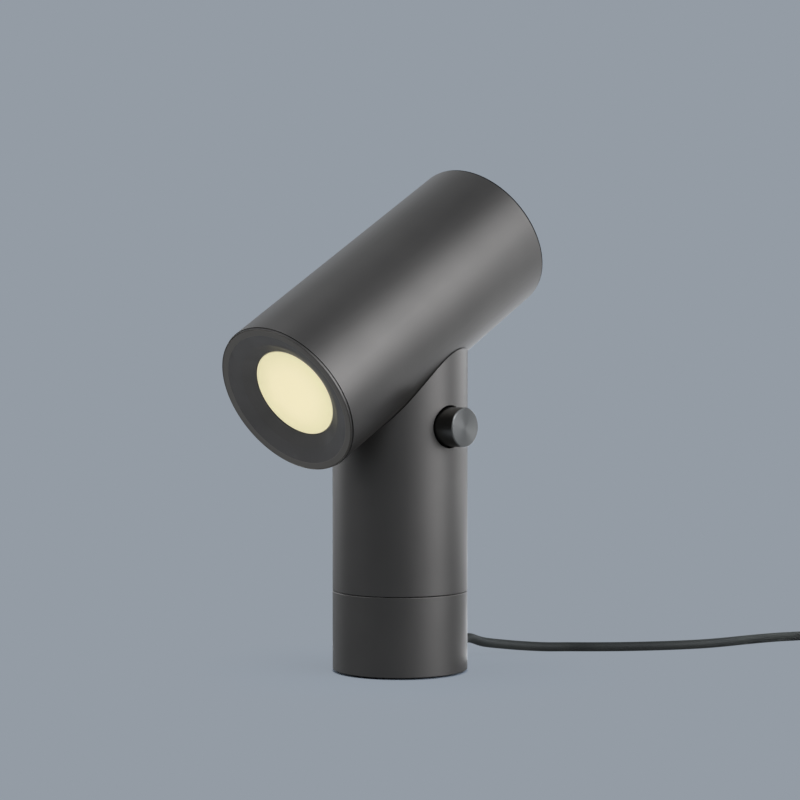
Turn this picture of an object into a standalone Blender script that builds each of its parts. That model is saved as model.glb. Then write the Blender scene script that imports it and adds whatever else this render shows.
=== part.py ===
"""A table lamp: a tilted head tube lies in the notched top of a stem that swivels on a weighted base.

Metres, +Z up. The origin is the middle of the foot pad's underside, on the stem's axis. The head looks
towards -Y and down, the dimmer knob is on the +X side and the cord leaves the base at the back, +Y.
"""

from math import acos, ceil, cos, pi, radians, sin, sqrt, tan

import bmesh
import bpy
import numpy as np
from mathutils import Matrix, Vector

# Clearance between pieces that touch, how far a cutter runs past what it cuts, and segments round a turn
GAP = 0.0003
OVERRUN = 0.003
HEAD_TURN = 56
TUBE_TURN = 36
TURN = 20
SMALL_TURN = 8

# Stem and base tubes, with a step turned inside each plain end
TUBE_RADIUS = 0.0375
TUBE_WALL = 0.0025
TUBE_STEP = 0.0014
TUBE_STEP_DEPTH = 0.003
TUBE_CHAMFER = 0.0005
BASE_BOTTOM = 0.001
BASE_TOP = 0.0447
SEAM = 0.0008

# Head tube: wider than the stem, its axis crosses the stem's at HEAD_HEIGHT and dips towards the front
HEAD_MARGIN = 0.0065
HEAD_WALL = 0.0022
HEAD_STEP = 0.001
HEAD_STEP_DEPTH = 0.003
HEAD_CHAMFER = 0.0004
HEAD_FRONT = 0.102
HEAD_BACK = 0.076
HEAD_HEIGHT = 0.2035
HEAD_DIP = radians(29.3)

# Back cap and the stud that draws it towards the heat sink
CAP_RECESS = 0.0003
CAP_THICKNESS = 0.002
CAP_RIM_DEPTH = 0.008
CAP_RIM_WALL = 0.002
CAP_BOSS_RADIUS = 0.007
CAP_BOSS_DEPTH = 0.016
STUD_RADIUS = 0.003
STUD_BITE = 0.008

# Front baffle: a narrow rim, a small drop, then a shallow cone down to the diffuser
BAFFLE_RIM = 0.0021
BAFFLE_DROP = 0.0009
BAFFLE_DEPTH = 0.007
BAFFLE_THICKNESS = 0.0016
BAFFLE_SKIRT_DEPTH = 0.009
BAFFLE_SKIRT_WALL = 0.0018
BAFFLE_CONE_INSET = 0.016
POST_RADIUS = 0.0032
POST_INSET = 0.0068
POST_COUNT = 3
POST_SHIFT = radians(1.1)

# Diffuser, reflector cup, LED board and chip
DIFFUSER_FLANGE_LAP = 0.0042
DIFFUSER_FLANGE = 0.002
CUP_FRONT_LAP = 0.0017
CUP_NECK_RADIUS = 0.0095
CUP_DEPTH = 0.0198
CUP_WALL = 0.0012
LED_BOARD_INSET = 0.0178
LED_BOARD_THICKNESS = 0.0016
LED_CHIP_RADIUS = 0.008
LED_CHIP_THICKNESS = 0.001

# Heat sink: a disc with radial fins, held to the baffle's posts by three screws
SINK_DISC = 0.004
SINK_FIN_DEPTH = 0.017
SINK_CORE_RADIUS = 0.008
SINK_FIN_THICKNESS = 0.0014
SINK_FIN_INSET = 0.0033
SINK_FIN_COUNT = 18
SINK_SCREW_RADIUS = 0.0015
SINK_SCREW_HEAD = 0.0028
SINK_SCREW_HEAD_HEIGHT = 0.002
SINK_SCREW_BITE = 0.008
WIRE_HOLE_INSET = 0.004
WIRE_HOLE_RADIUS = 0.0024

# Saddle bracket inside the stem's top, under the head
SADDLE_THICKNESS = 0.0045
SADDLE_BOSS_RADIUS = 0.0045
SADDLE_BOSS_DEPTH = 0.0085
TIE_BOSS_DEPTH = 0.0125
HEAD_SCREW_SPREAD_SHARE = 0.4
SCREW_RADIUS = 0.002
SCREW_HEAD_RADIUS = 0.0035
SCREW_HEAD_HEIGHT = 0.0025
SCREW_BITE = 0.0065
SOCKET_SHARE = 0.55
LEAD_HOLE_ACROSS = -0.016
LEAD_HOLE_RADIUS = 0.0035

# Stem ring and its tie screws
RING_HEIGHT = 0.008
TIE_SCREW_INSET = 0.009
TIE_HEAD_HEIGHT = 0.004

# Swivel: spindle, washers, nut, glide ring and stop pin
SPINDLE_RADIUS = 0.006
SPINDLE_BORE = 0.0043
SPINDLE_FLANGE_RADIUS = 0.009
SPINDLE_FLANGE = 0.002
SPINDLE_TAIL = 0.0015
WASHER_RADIUS = 0.011
WASHER_THICKNESS = 0.001
WAVE_THICKNESS = 0.0006
WAVE_RISE = 0.0002
WAVE_COUNT = 3
NUT_FLATS = 0.017
NUT_HEIGHT = 0.0054
GLIDE_INSET = 0.003
GLIDE_WIDTH = 0.008
STOP_PIN_RADIUS = 0.002
STOP_PIN_PLACE = 0.014
STOP_PIN_BITE = 0.0045
STOP_PIN_REACH = 0.0032
SWIVEL_TURN = radians(300)

# Base pieces
TOP_PLATE_RECESS = 0.0005
TOP_PLATE_BODY = 0.0021
FOOT_INSET = 0.0045
FOOT_THICKNESS = 0.0012
BOTTOM_PLATE_BODY = 0.0011
WEIGHT_CLEARANCE = 0.0114
WEIGHT_BORE = 0.011
WEIGHT_CHAMFER = 0.001
BASE_SCREW_INSET = 0.008
BASE_SCREW_HEAD = 0.004
BASE_SCREW_CONE = 0.002
BASE_SCREW_BITE = 0.0025
BASE_SCREW_ANGLES = (30, 150, 270)

# Chassis plate, driver board and what stands on it
CHASSIS_INSET = 0.011
CHASSIS_THICKNESS = 0.0016
CHASSIS_MARGIN = 0.0049
CHASSIS_NECK_WIDTH = 0.021
CHASSIS_NECK_DROP = 0.013
CHASSIS_NECK_RISE = 0.0095
CHASSIS_TAB = 0.0165
CHASSIS_SCREW_SPREAD = 0.011
CHASSIS_CORNER = 0.003
BOARD_THICKNESS = 0.0016
BOARD_WIDTH = 0.03
BOARD_CLEARANCE = 0.0109
BOARD_RISE = 0.0085
BOARD_STANDOFF = 0.0044
STANDOFF_RADIUS = 0.002
STANDOFF_INSET = 0.0035
TRANSFORMER_SIZE = 0.016
TRANSFORMER_WAIST = 0.011
TRANSFORMER_HEIGHT_SHARE = 0.285
TRANSFORMER_PLACE_SHARE = 0.535
CAPACITOR_LENGTH = 0.014
CAPACITOR_RADIUS_SHARE = 0.089
CAPACITOR_PLACE_SHARE = 0.848
TERMINAL_WIDTH = 0.012
TERMINAL_HEIGHT_SHARE = 0.18
TERMINAL_RISE = 0.0055
COMPONENT_EDGE = 0.0006

# Dimmer and its knob, which stands out of the stem's side below the saddle
KNOB_DROP = 0.01034
KNOB_OUT = 0.0108
KNOB_RADIUS = 0.0108
KNOB_LENGTH = 0.0165
KNOB_CHAMFER = 0.0005
KNOB_CLEARANCE = 0.0008
DIMMER_RADIUS = 0.0083
DIMMER_CAN = 0.0098
BUSH_RADIUS = 0.0046
BUSH_LENGTH = 0.0056
SHAFT_RADIUS = 0.003
SHAFT_FLAT = 0.0022
SHAFT_BITE = 0.012
BUSH_NUT_FLATS = 0.0125
BUSH_NUT_HEIGHT = 0.0022

# Cord and strain relief
CORD_RADIUS = 0.0027
CORD_HEIGHT = 0.012
BOOT_FLANGE_RADIUS = 0.0062
BOOT_FLANGE = 0.002
BOOT_NECK_RADIUS = 0.005
BOOT_LENGTH = 0.016
BOOT_TIP_RADIUS = 0.0036
ANCHOR_RADIUS = 0.0058
ANCHOR_LENGTH = 0.006
ANCHOR_INSET = 0.010
INNER_LEAD_RADIUS = 0.0025
THIN_LEAD_RADIUS = 0.0012

# Bends of the leads inside, as shares of the way from one end of the run to the other
MAINS_SHARES = ((0, 0.4, 0), (0, 0.78, 0.17), (0, 0.97, 0.56))
LED_STEM_SHARES = ((0.15, 0, 0), (0.67, 0.32, 0.315), (0.955, 0.51, 0.72))
LED_HEAD_SHARES = ((0.1, 0.53, 0.19), (0.62, 0.95, 0.6))
DIMMER_LEAD_SHARES = ((-0.585, 0, 0), (-0.88, 0, 0.45), (-0.17, 0, 0.9), (0.585, 0, 1))
LED_LEAD_SIDE = 0.010

# Free stretch of cord, seen from above and with its height, chosen by hand
CORD_ROUTE = (
    (0.0002, 0.0704, 0.0086),
    (0.0029, 0.0852, 0.0060),
    (0.0075, 0.0980, 0.0042),
    (0.0145, 0.1095, 0.0031),
    (0.0226, 0.1200, 0.0028),
    (0.0337, 0.1300, 0.0028),
    (0.0460, 0.1427, 0.0028),
    (0.0570, 0.1565, 0.0028),
    (0.0660, 0.1700, 0.0028),
    (0.0735, 0.1845, 0.0028),
    (0.0785, 0.2005, 0.0028),
    (0.0825, 0.2180, 0.0028),
    (0.0880, 0.2360, 0.0028),
    (0.0955, 0.2500, 0.0029),
    (0.1037, 0.2612, 0.0034),
)
CORD_STEP = 0.007

# Coil of the length that is put away: turns lie side by side in layers, and the tail crosses on top
COIL_CENTRE = (0.1477, 0.2541)
COIL_ENTRY = radians(132.8)
COIL_RADIUS = 0.0354
COIL_LAYERS = 4
COIL_SPIRAL_TURNS = 1.5
COIL_CLIMB_TURNS = 0.5
COIL_SPACING = 0.0012
COIL_POINTS_PER_TURN = 24
TAIL_RADIUS = 0.024
TAIL_TURN = radians(135)
TAIL_CLIMB_TURN = radians(95)
TIE_THICKNESS = 0.001
TIE_WIDTH = 0.008
TIE_ANGLE = 0

# Plug: a flat body with two round pins
PLUG_LENGTH = 0.036
PLUG_HALF_WIDTH = 0.0176
PLUG_HALF_HEIGHT = 0.0068
PLUG_PIN_RADIUS = 0.002
PLUG_PIN_LENGTH = 0.019
PLUG_PIN_SPREAD = 0.0093
PLUG_PIN_BITE = 0.004
PLUG_SECTION_SHARES = (
    (0, 0.21, 0.54),
    (0.10, 0.30, 0.66),
    (0.28, 0.40, 0.80),
    (0.52, 0.66, 1),
    (0.72, 0.92, 1),
    (0.97, 1, 1),
    (1, 0.96, 0.92),
)
PLUG_SECTION_POINTS = 20
PLUG_SQUARENESS = 3

# Sizes that follow from the ones above
HEAD_RADIUS = TUBE_RADIUS + HEAD_MARGIN
TUBE_BORE = TUBE_RADIUS - TUBE_WALL
BODY_RADIUS = TUBE_BORE - GAP
FLANGE_RADIUS = TUBE_BORE + TUBE_STEP - GAP
STEM_BOTTOM = BASE_TOP + SEAM
RING_TOP = STEM_BOTTOM + RING_HEIGHT
PLATE_TOP = BASE_TOP - TOP_PLATE_RECESS
PLATE_BOTTOM = BASE_TOP - TUBE_STEP_DEPTH + GAP - TOP_PLATE_BODY
BOTTOM_PLATE_BOTTOM = FOOT_THICKNESS + GAP
BOTTOM_PLATE_FLANGE_TOP = BASE_BOTTOM + TUBE_STEP_DEPTH - GAP
BOTTOM_PLATE_TOP = BOTTOM_PLATE_FLANGE_TOP + BOTTOM_PLATE_BODY
WEIGHT_BOTTOM = BOTTOM_PLATE_TOP + GAP
WEIGHT_TOP = PLATE_BOTTOM - WEIGHT_CLEARANCE
FOOT_RADIUS = TUBE_RADIUS - FOOT_INSET
BASE_SCREW_PLACE = TUBE_BORE - BASE_SCREW_INSET
TIE_SCREW_PLACE = TUBE_BORE - TIE_SCREW_INSET
GLIDE_OUTER = TUBE_BORE - GLIDE_INSET
ANCHOR_PLACE = TUBE_BORE - ANCHOR_INSET
HEAD_BORE = HEAD_RADIUS - HEAD_WALL
HEAD_RIM_BORE = HEAD_BORE + HEAD_STEP
BAFFLE_RADIUS = HEAD_RIM_BORE - GAP
SKIRT_RADIUS = HEAD_BORE - GAP
BAFFLE_MOUTH_RADIUS = HEAD_BORE - BAFFLE_CONE_INSET
DIFFUSER_FLANGE_RADIUS = BAFFLE_MOUTH_RADIUS + DIFFUSER_FLANGE_LAP
POST_PLACE = HEAD_BORE - POST_INSET
LED_BOARD_RADIUS = HEAD_BORE - LED_BOARD_INSET
WIRE_HOLE_PLACE = LED_BOARD_RADIUS - WIRE_HOLE_INSET
SINK_FIN_REACH = HEAD_BORE - SINK_FIN_INSET
DIFFUSER_FRONT = BAFFLE_DEPTH + GAP
DIFFUSER_FLANGE_FRONT = BAFFLE_DEPTH + BAFFLE_THICKNESS + GAP
CUP_FRONT = DIFFUSER_FLANGE_FRONT + DIFFUSER_FLANGE + GAP
LED_BOARD_FRONT = CUP_FRONT + CUP_DEPTH + GAP
SINK_FRONT = LED_BOARD_FRONT + LED_BOARD_THICKNESS + GAP
SINK_BACK = SINK_FRONT + SINK_DISC
FIN_BACK = SINK_BACK + SINK_FIN_DEPTH
SADDLE_RADIUS = HEAD_RADIUS + GAP + SADDLE_THICKNESS
SADDLE_LOW = HEAD_HEIGHT - SADDLE_RADIUS / cos(HEAD_DIP)
SADDLE_MIDDLE = HEAD_RADIUS * tan(HEAD_DIP)
HEAD_SCREW_SPREAD = TUBE_BORE * HEAD_SCREW_SPREAD_SHARE
HEAD_SCREWS = (
    (SADDLE_MIDDLE + HEAD_SCREW_SPREAD, "front"),
    (SADDLE_MIDDLE - HEAD_SCREW_SPREAD, "back"),
)
KNOB_HEIGHT = SADDLE_LOW - KNOB_DROP
KNOB_FACE = TUBE_RADIUS + KNOB_OUT
CHASSIS_PLACE = TUBE_BORE - CHASSIS_INSET
THREAD_RADIUS = SCREW_RADIUS + GAP
SHAFT_BORE = SHAFT_RADIUS + GAP
KNOB_BACK = KNOB_FACE - KNOB_LENGTH
SHAFT_TIP = KNOB_BACK + SHAFT_BITE
CHASSIS_OUTER = CHASSIS_PLACE + CHASSIS_THICKNESS
CHASSIS_HALF = sqrt(TUBE_BORE**2 - CHASSIS_OUTER**2) - CHASSIS_MARGIN
DIMMER_BACK = CHASSIS_PLACE - GAP - DIMMER_CAN
BOARD_OUTER = CHASSIS_PLACE - BOARD_STANDOFF
BOARD_INNER = BOARD_OUTER - BOARD_THICKNESS
BOARD_BOTTOM = RING_TOP + BOARD_RISE
BOARD_TOP = KNOB_HEIGHT - DIMMER_RADIUS - BOARD_CLEARANCE
BOARD_LENGTH = BOARD_TOP - BOARD_BOTTOM
CAPACITOR_RADIUS = BOARD_LENGTH * CAPACITOR_RADIUS_SHARE
TERMINAL_BOTTOM = RING_TOP + TERMINAL_RISE
NUT_TOP = PLATE_BOTTOM - WASHER_THICKNESS - WAVE_THICKNESS - 2 * WAVE_RISE - 3 * GAP
NUT_BOTTOM = NUT_TOP - NUT_HEIGHT
BOOT_SEAT = sqrt(TUBE_BORE**2 - BOOT_FLANGE_RADIUS**2) - GAP
BOOT_TIP = TUBE_RADIUS + BOOT_LENGTH
CHANNEL_RADIUS = BOOT_FLANGE_RADIUS + GAP
CORD_DIAMETER = 2 * CORD_RADIUS
COIL_PITCH = CORD_DIAMETER + COIL_SPACING
COIL_FLOOR = TIE_THICKNESS + GAP + CORD_RADIUS

# Finish of each kind of surface: colour, roughness, metallic
FINISHES = {
    "black anodised": ((0.045, 0.045, 0.047), 0.38, 0.85),
    "knob metal": ((0.09, 0.09, 0.09), 0.25, 1),
    "black paint": ((0.045, 0.045, 0.045), 0.6, 0),
    "opal": ((0.9, 0.82, 0.56), 0.4, 0),
    "white reflector": ((0.85, 0.85, 0.83), 0.5, 0),
    "bare aluminium": ((0.6, 0.6, 0.61), 0.35, 1),
    "zinc plated": ((0.55, 0.56, 0.58), 0.3, 1),
    "cast iron": ((0.08, 0.08, 0.085), 0.7, 0.8),
    "board": ((0.05, 0.2, 0.08), 0.5, 0),
    "chip": ((0.9, 0.7, 0.15), 0.4, 0),
    "brass": ((0.7, 0.5, 0.2), 0.3, 1),
    "nylon": ((0.8, 0.8, 0.76), 0.5, 0),
    "black plastic": ((0.02, 0.02, 0.02), 0.45, 0),
    "rubber": ((0.018, 0.018, 0.018), 0.8, 0),
    "cord": ((0.03, 0.034, 0.032), 0.6, 0),
}


def clear_scene():
    for obj in list(bpy.data.objects):
        bpy.data.objects.remove(obj, do_unlink=True)


def new_collection(name):
    collection = bpy.data.collections.new(name)
    bpy.context.scene.collection.children.link(collection)
    return collection


def new_frame(name, location, rotation=(0, 0, 0), parent=None):
    """An empty on a joint's or a tube's axis, which carries the pieces built along its own Z."""
    frame = bpy.data.objects.new(name, None)
    frame.location = location
    frame.rotation_euler = rotation
    frame.parent = parent
    lamp.objects.link(frame)
    return frame


def dress(obj, finish):
    """Gives the object its own material."""
    colour, roughness, metallic = FINISHES[finish]
    material = bpy.data.materials.new(obj.name)
    material.use_nodes = True
    shader = material.node_tree.nodes["Principled BSDF"]
    shader.inputs["Base Color"].default_value = (*colour, 1)
    shader.inputs["Roughness"].default_value = roughness
    shader.inputs["Metallic"].default_value = metallic
    material.diffuse_color = (*colour, 1)
    obj.data.materials.clear()
    obj.data.materials.append(material)


def add(name, mesh, finish, frame=None):
    """A named piece with smooth shading and sharp edges."""
    obj = bpy.data.objects.new(name, mesh)
    obj.parent = frame
    lamp.objects.link(obj)
    mesh.shade_smooth()
    mesh.set_sharp_from_angle(angle=radians(35))
    dress(obj, finish)
    return obj


def add_cutter(name, mesh, frame=None):
    obj = bpy.data.objects.new(name, mesh)
    obj.parent = frame
    obj.hide_render = True
    obj.display_type = "WIRE"
    cutters.objects.link(obj)
    return obj


def boolean(obj, other, operation="DIFFERENCE"):
    modifier = obj.modifiers.new(other.name, "BOOLEAN")
    modifier.operation = operation
    modifier.solver = "EXACT"
    modifier.object = other


def mesh_from(obj, name):
    """The object's evaluated mesh with its doubles merged, and the object removed."""
    bpy.context.scene.collection.objects.link(obj)
    bpy.context.view_layer.update()
    evaluated = obj.evaluated_get(bpy.context.evaluated_depsgraph_get())
    mesh = bpy.data.meshes.new_from_object(evaluated)
    mesh.name = name
    shape = bmesh.new()
    shape.from_mesh(mesh)
    bmesh.ops.remove_doubles(shape, verts=shape.verts, dist=GAP / 100)
    bmesh.ops.recalc_face_normals(shape, faces=shape.faces)
    shape.to_mesh(mesh)
    shape.free()
    bpy.data.objects.remove(obj, do_unlink=True)
    return mesh


def turned(name, profile, steps=TUBE_TURN):
    """A mesh turned about Z. The profile holds (radius, height), down the outer side first.

    A profile that starts and ends on the axis is solid, and any other is closed into a ring. A small
    one is turned by half a segment, so that its corners stay off the planes of symmetry.
    """
    mesh = bpy.data.meshes.new(name)
    count = len(profile)
    solid = profile[0][0] == 0 and profile[-1][0] == 0
    edges = [(i, i + 1) for i in range(count - 1)] + ([] if solid else [(count - 1, 0)])
    mesh.from_pydata([(radius, 0, height) for radius, height in profile], edges, [])
    obj = bpy.data.objects.new(name, mesh)
    screw = obj.modifiers.new("turn", "SCREW")
    screw.steps = screw.render_steps = steps
    screw.use_merge_vertices = True
    screw.merge_threshold = GAP / 100
    mesh = mesh_from(obj, name)
    if steps < TUBE_TURN:
        mesh.transform(Matrix.Rotation(pi / steps, 4, "Z"))
    return mesh


def ring(name, inner, outer, low, high, steps=TUBE_TURN):
    return turned(name, [(outer, high), (outer, low), (inner, low), (inner, high)], steps)


def disc(name, radius, low, high, steps=TUBE_TURN):
    return turned(name, [(0, high), (radius, high), (radius, low), (0, low)], steps)


def moved(mesh, place=(0, 0, 0), towards=(0, 0, 1)):
    """Moves a mesh made along Z so that it stands at place and points towards a direction."""
    turn = Vector(towards).to_track_quat("Z", "Y").to_matrix().to_4x4()
    mesh.transform(Matrix.Translation(place) @ turn)
    return mesh


def flat(name, outlines, thickness):
    """A mesh cut from sheet: closed outlines in XY, the later ones holes, centred on Z."""
    curve = bpy.data.curves.new(name, "CURVE")
    curve.dimensions = "2D"
    curve.fill_mode = "BOTH"
    curve.extrude = thickness / 2
    for outline in outlines:
        spline = curve.splines.new("POLY")
        spline.points.add(len(outline) - 1)
        for point, (x, y) in zip(spline.points, outline):
            point.co = (x, y, 0, 1)
        spline.use_cyclic_u = True
    return mesh_from(bpy.data.objects.new(name, curve), name)


def rounded_box(width, depth, corner, steps=3):
    """The outline of a rectangle centred on the origin, with round corners."""
    points = []
    for quarter, (sx, sy) in enumerate(((1, 1), (-1, 1), (-1, -1), (1, -1))):
        for step in range(steps + 1):
            angle = (quarter + step / steps) * pi / 2
            x = sx * (width / 2 - corner) + corner * cos(angle)
            y = sy * (depth / 2 - corner) + corner * sin(angle)
            points.append((x, y))
    return points


def circle(radius, steps=SMALL_TURN, centre=(0, 0)):
    angles = [2 * pi * (step + 0.5) / steps for step in range(steps)]
    return [(centre[0] + radius * cos(a), centre[1] + radius * sin(a)) for a in angles]


def hexagon(flats):
    corner = flats / sqrt(3)
    return [(corner * cos(k * pi / 3), corner * sin(k * pi / 3)) for k in range(6)]


def block(name, size, place, edge=0):
    """A box mesh with its edges rounded off by edge."""
    mesh = bpy.data.meshes.new(name)
    shape = bmesh.new()
    bmesh.ops.create_cube(shape, size=1)
    bmesh.ops.scale(shape, verts=shape.verts, vec=size)
    if edge:
        bmesh.ops.bevel(shape, geom=shape.edges[:], offset=edge, segments=2, profile=0.5, affect="EDGES")
    bmesh.ops.translate(shape, verts=shape.verts, vec=place)
    shape.to_mesh(mesh)
    shape.free()
    return mesh


def smooth_path(route, step):
    """Points about a step apart on a smooth curve through every point of the route (Catmull-Rom)."""
    route = [np.array(point, float) for point in route]
    ends = [2 * route[0] - route[1], *route, 2 * route[-1] - route[-2]]
    points = []
    for a, b, c, d in zip(ends, ends[1:], ends[2:], ends[3:]):
        count = max(1, ceil(np.linalg.norm(c - b) / step))
        for t in np.arange(count) / count:
            bend = 2 * b + (c - a) * t + (2 * a - 5 * b + 4 * c - d) * t**2
            points.append((bend + (3 * b - a - 3 * c + d) * t**3) / 2)
    return [*points, route[-1]]


def length_of(points):
    return sum(np.linalg.norm(b - a) for a, b in zip(points, points[1:]))


def tube(name, points, radius, finish, resolution=2, frame=None):
    """A round lead along the points, as a curve with a bevel and filled caps."""
    curve = bpy.data.curves.new(name, "CURVE")
    curve.dimensions = "3D"
    curve.bevel_depth = radius
    curve.bevel_resolution = resolution
    curve.use_fill_caps = True
    spline = curve.splines.new("POLY")
    spline.points.add(len(points) - 1)
    for point, place in zip(spline.points, points):
        point.co = (*place, 1)
    obj = bpy.data.objects.new(name, curve)
    obj.parent = frame
    lamp.objects.link(obj)
    dress(obj, finish)
    return obj


def head_point(across, up, along):
    """A place inside the head in world axes: across is X, up is away from the saddle, along is forward."""
    return (
        across,
        -up * sin(HEAD_DIP) - along * cos(HEAD_DIP),
        HEAD_HEIGHT + up * cos(HEAD_DIP) - along * sin(HEAD_DIP),
    )


def cap_screw_mesh(name, radius, length, head_radius, head_height):
    """A socket-head screw along Z: the head is above zero and the shank below, with a plain point."""
    socket_radius = head_radius * SOCKET_SHARE
    socket_floor = head_height * (1 - SOCKET_SHARE)
    profile = [
        (0, socket_floor),
        (socket_radius, socket_floor),
        (socket_radius, head_height),
        (head_radius, head_height),
        (head_radius, 0),
        (radius, 0),
        (radius, -length + radius / 2),
        (radius / 2, -length),
        (0, -length),
    ]
    return turned(name, profile, SMALL_TURN)


# Base


def make_base_sleeve():
    """A tube with a step turned inside both ends and a hole at the back for the strain relief."""
    step_bore = TUBE_BORE + TUBE_STEP
    profile = [
        (TUBE_RADIUS - TUBE_CHAMFER, BASE_TOP),
        (TUBE_RADIUS, BASE_TOP - TUBE_CHAMFER),
        (TUBE_RADIUS, BASE_BOTTOM + TUBE_CHAMFER),
        (TUBE_RADIUS - TUBE_CHAMFER, BASE_BOTTOM),
        (step_bore, BASE_BOTTOM),
        (step_bore, BASE_BOTTOM + TUBE_STEP_DEPTH),
        (TUBE_BORE, BASE_BOTTOM + TUBE_STEP_DEPTH),
        (TUBE_BORE, BASE_TOP - TUBE_STEP_DEPTH),
        (step_bore, BASE_TOP - TUBE_STEP_DEPTH),
        (step_bore, BASE_TOP),
    ]
    sleeve = add("base_sleeve", turned("base_sleeve", profile), "black anodised")
    reach = TUBE_WALL + TUBE_RADIUS / 2
    hole = disc("cord_hole", BOOT_NECK_RADIUS + GAP, 0, reach, TURN)
    boolean(sleeve, add_cutter("cord_hole", moved(hole, (0, TUBE_BORE / 2, CORD_HEIGHT), (0, 1, 0))))


def screw_places():
    for degrees in BASE_SCREW_ANGLES:
        angle = radians(degrees)
        yield BASE_SCREW_PLACE * cos(angle), BASE_SCREW_PLACE * sin(angle)


def drill_base_screws(obj, radius, low, high):
    """Three straight holes for the base screws."""
    for number, (x, y) in enumerate(screw_places(), 1):
        hole = moved(disc("hole", radius, low, high, SMALL_TURN), (x, y, 0))
        boolean(obj, add_cutter(f"{obj.name}_hole_{number}", hole))


def make_foot_pad():
    chamfer = FOOT_THICKNESS / 4
    profile = [
        (0, FOOT_THICKNESS),
        (FOOT_RADIUS, FOOT_THICKNESS),
        (FOOT_RADIUS, chamfer),
        (FOOT_RADIUS - chamfer, 0),
        (0, 0),
    ]
    add("foot_pad", turned("foot_pad", profile), "rubber")


def make_bottom_plate():
    """A flanged disc that closes the sleeve from below, countersunk for the three screws."""
    profile = [
        (0, BOTTOM_PLATE_TOP),
        (BODY_RADIUS, BOTTOM_PLATE_TOP),
        (BODY_RADIUS, BOTTOM_PLATE_FLANGE_TOP),
        (FLANGE_RADIUS, BOTTOM_PLATE_FLANGE_TOP),
        (FLANGE_RADIUS, BOTTOM_PLATE_BOTTOM),
        (0, BOTTOM_PLATE_BOTTOM),
    ]
    plate = add("bottom_plate", turned("bottom_plate", profile), "zinc plated")
    sink = [
        (0, BOTTOM_PLATE_TOP + OVERRUN),
        (THREAD_RADIUS, BOTTOM_PLATE_TOP + OVERRUN),
        (THREAD_RADIUS, BOTTOM_PLATE_BOTTOM + BASE_SCREW_CONE),
        (BASE_SCREW_HEAD + GAP, BOTTOM_PLATE_BOTTOM),
        (BASE_SCREW_HEAD + GAP, BOTTOM_PLATE_BOTTOM - OVERRUN),
        (0, BOTTOM_PLATE_BOTTOM - OVERRUN),
    ]
    for number, (x, y) in enumerate(screw_places(), 1):
        cutter = moved(turned("sink", sink, SMALL_TURN), (x, y, 0))
        boolean(plate, add_cutter(f"bottom_plate_sink_{number}", cutter))


def make_base_screws():
    """Long countersunk screws from the bottom plate through the counterweight into the top plate."""
    tip = PLATE_BOTTOM + BASE_SCREW_BITE
    socket = BASE_SCREW_HEAD * SOCKET_SHARE
    profile = [
        (0, tip),
        (SCREW_RADIUS, tip),
        (SCREW_RADIUS, BOTTOM_PLATE_BOTTOM + BASE_SCREW_CONE + GAP),
        (BASE_SCREW_HEAD, BOTTOM_PLATE_BOTTOM + GAP),
        (socket, BOTTOM_PLATE_BOTTOM + GAP),
        (socket, BOTTOM_PLATE_BOTTOM + GAP + BASE_SCREW_CONE / 2),
        (0, BOTTOM_PLATE_BOTTOM + GAP + BASE_SCREW_CONE / 2),
    ]
    for number, (x, y) in enumerate(screw_places(), 1):
        name = f"base_screw_{number}"
        add(name, moved(turned(name, profile, SMALL_TURN), (x, y, 0)), "zinc plated")


def make_counterweight():
    """A cast disc with a middle bore, three screw holes and a slot below for the cord."""
    top = WEIGHT_TOP
    profile = [
        (BODY_RADIUS - WEIGHT_CHAMFER, top),
        (BODY_RADIUS, top - WEIGHT_CHAMFER),
        (BODY_RADIUS, WEIGHT_BOTTOM + WEIGHT_CHAMFER),
        (BODY_RADIUS - WEIGHT_CHAMFER, WEIGHT_BOTTOM),
        (WEIGHT_BORE, WEIGHT_BOTTOM),
        (WEIGHT_BORE, top),
    ]
    weight = add("counterweight", turned("counterweight", profile), "cast iron")
    drill_base_screws(weight, SCREW_RADIUS + 2 * GAP, WEIGHT_BOTTOM - OVERRUN, top + OVERRUN)
    arch = [(CHANNEL_RADIUS * cos(a), CHANNEL_RADIUS * sin(a)) for a in np.linspace(0, pi, TURN // 2)]
    foot = WEIGHT_BOTTOM - OVERRUN - CORD_HEIGHT
    outline = [*arch, (-CHANNEL_RADIUS, foot), (CHANNEL_RADIUS, foot)]
    slot = flat("cord_slot", [outline], TUBE_RADIUS)
    slot.transform(Matrix.Rotation(pi / 2, 4, "X"))
    slot.transform(Matrix.Translation((0, TUBE_RADIUS / 2 + GAP, CORD_HEIGHT)))
    boolean(weight, add_cutter("cord_slot", slot))


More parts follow.
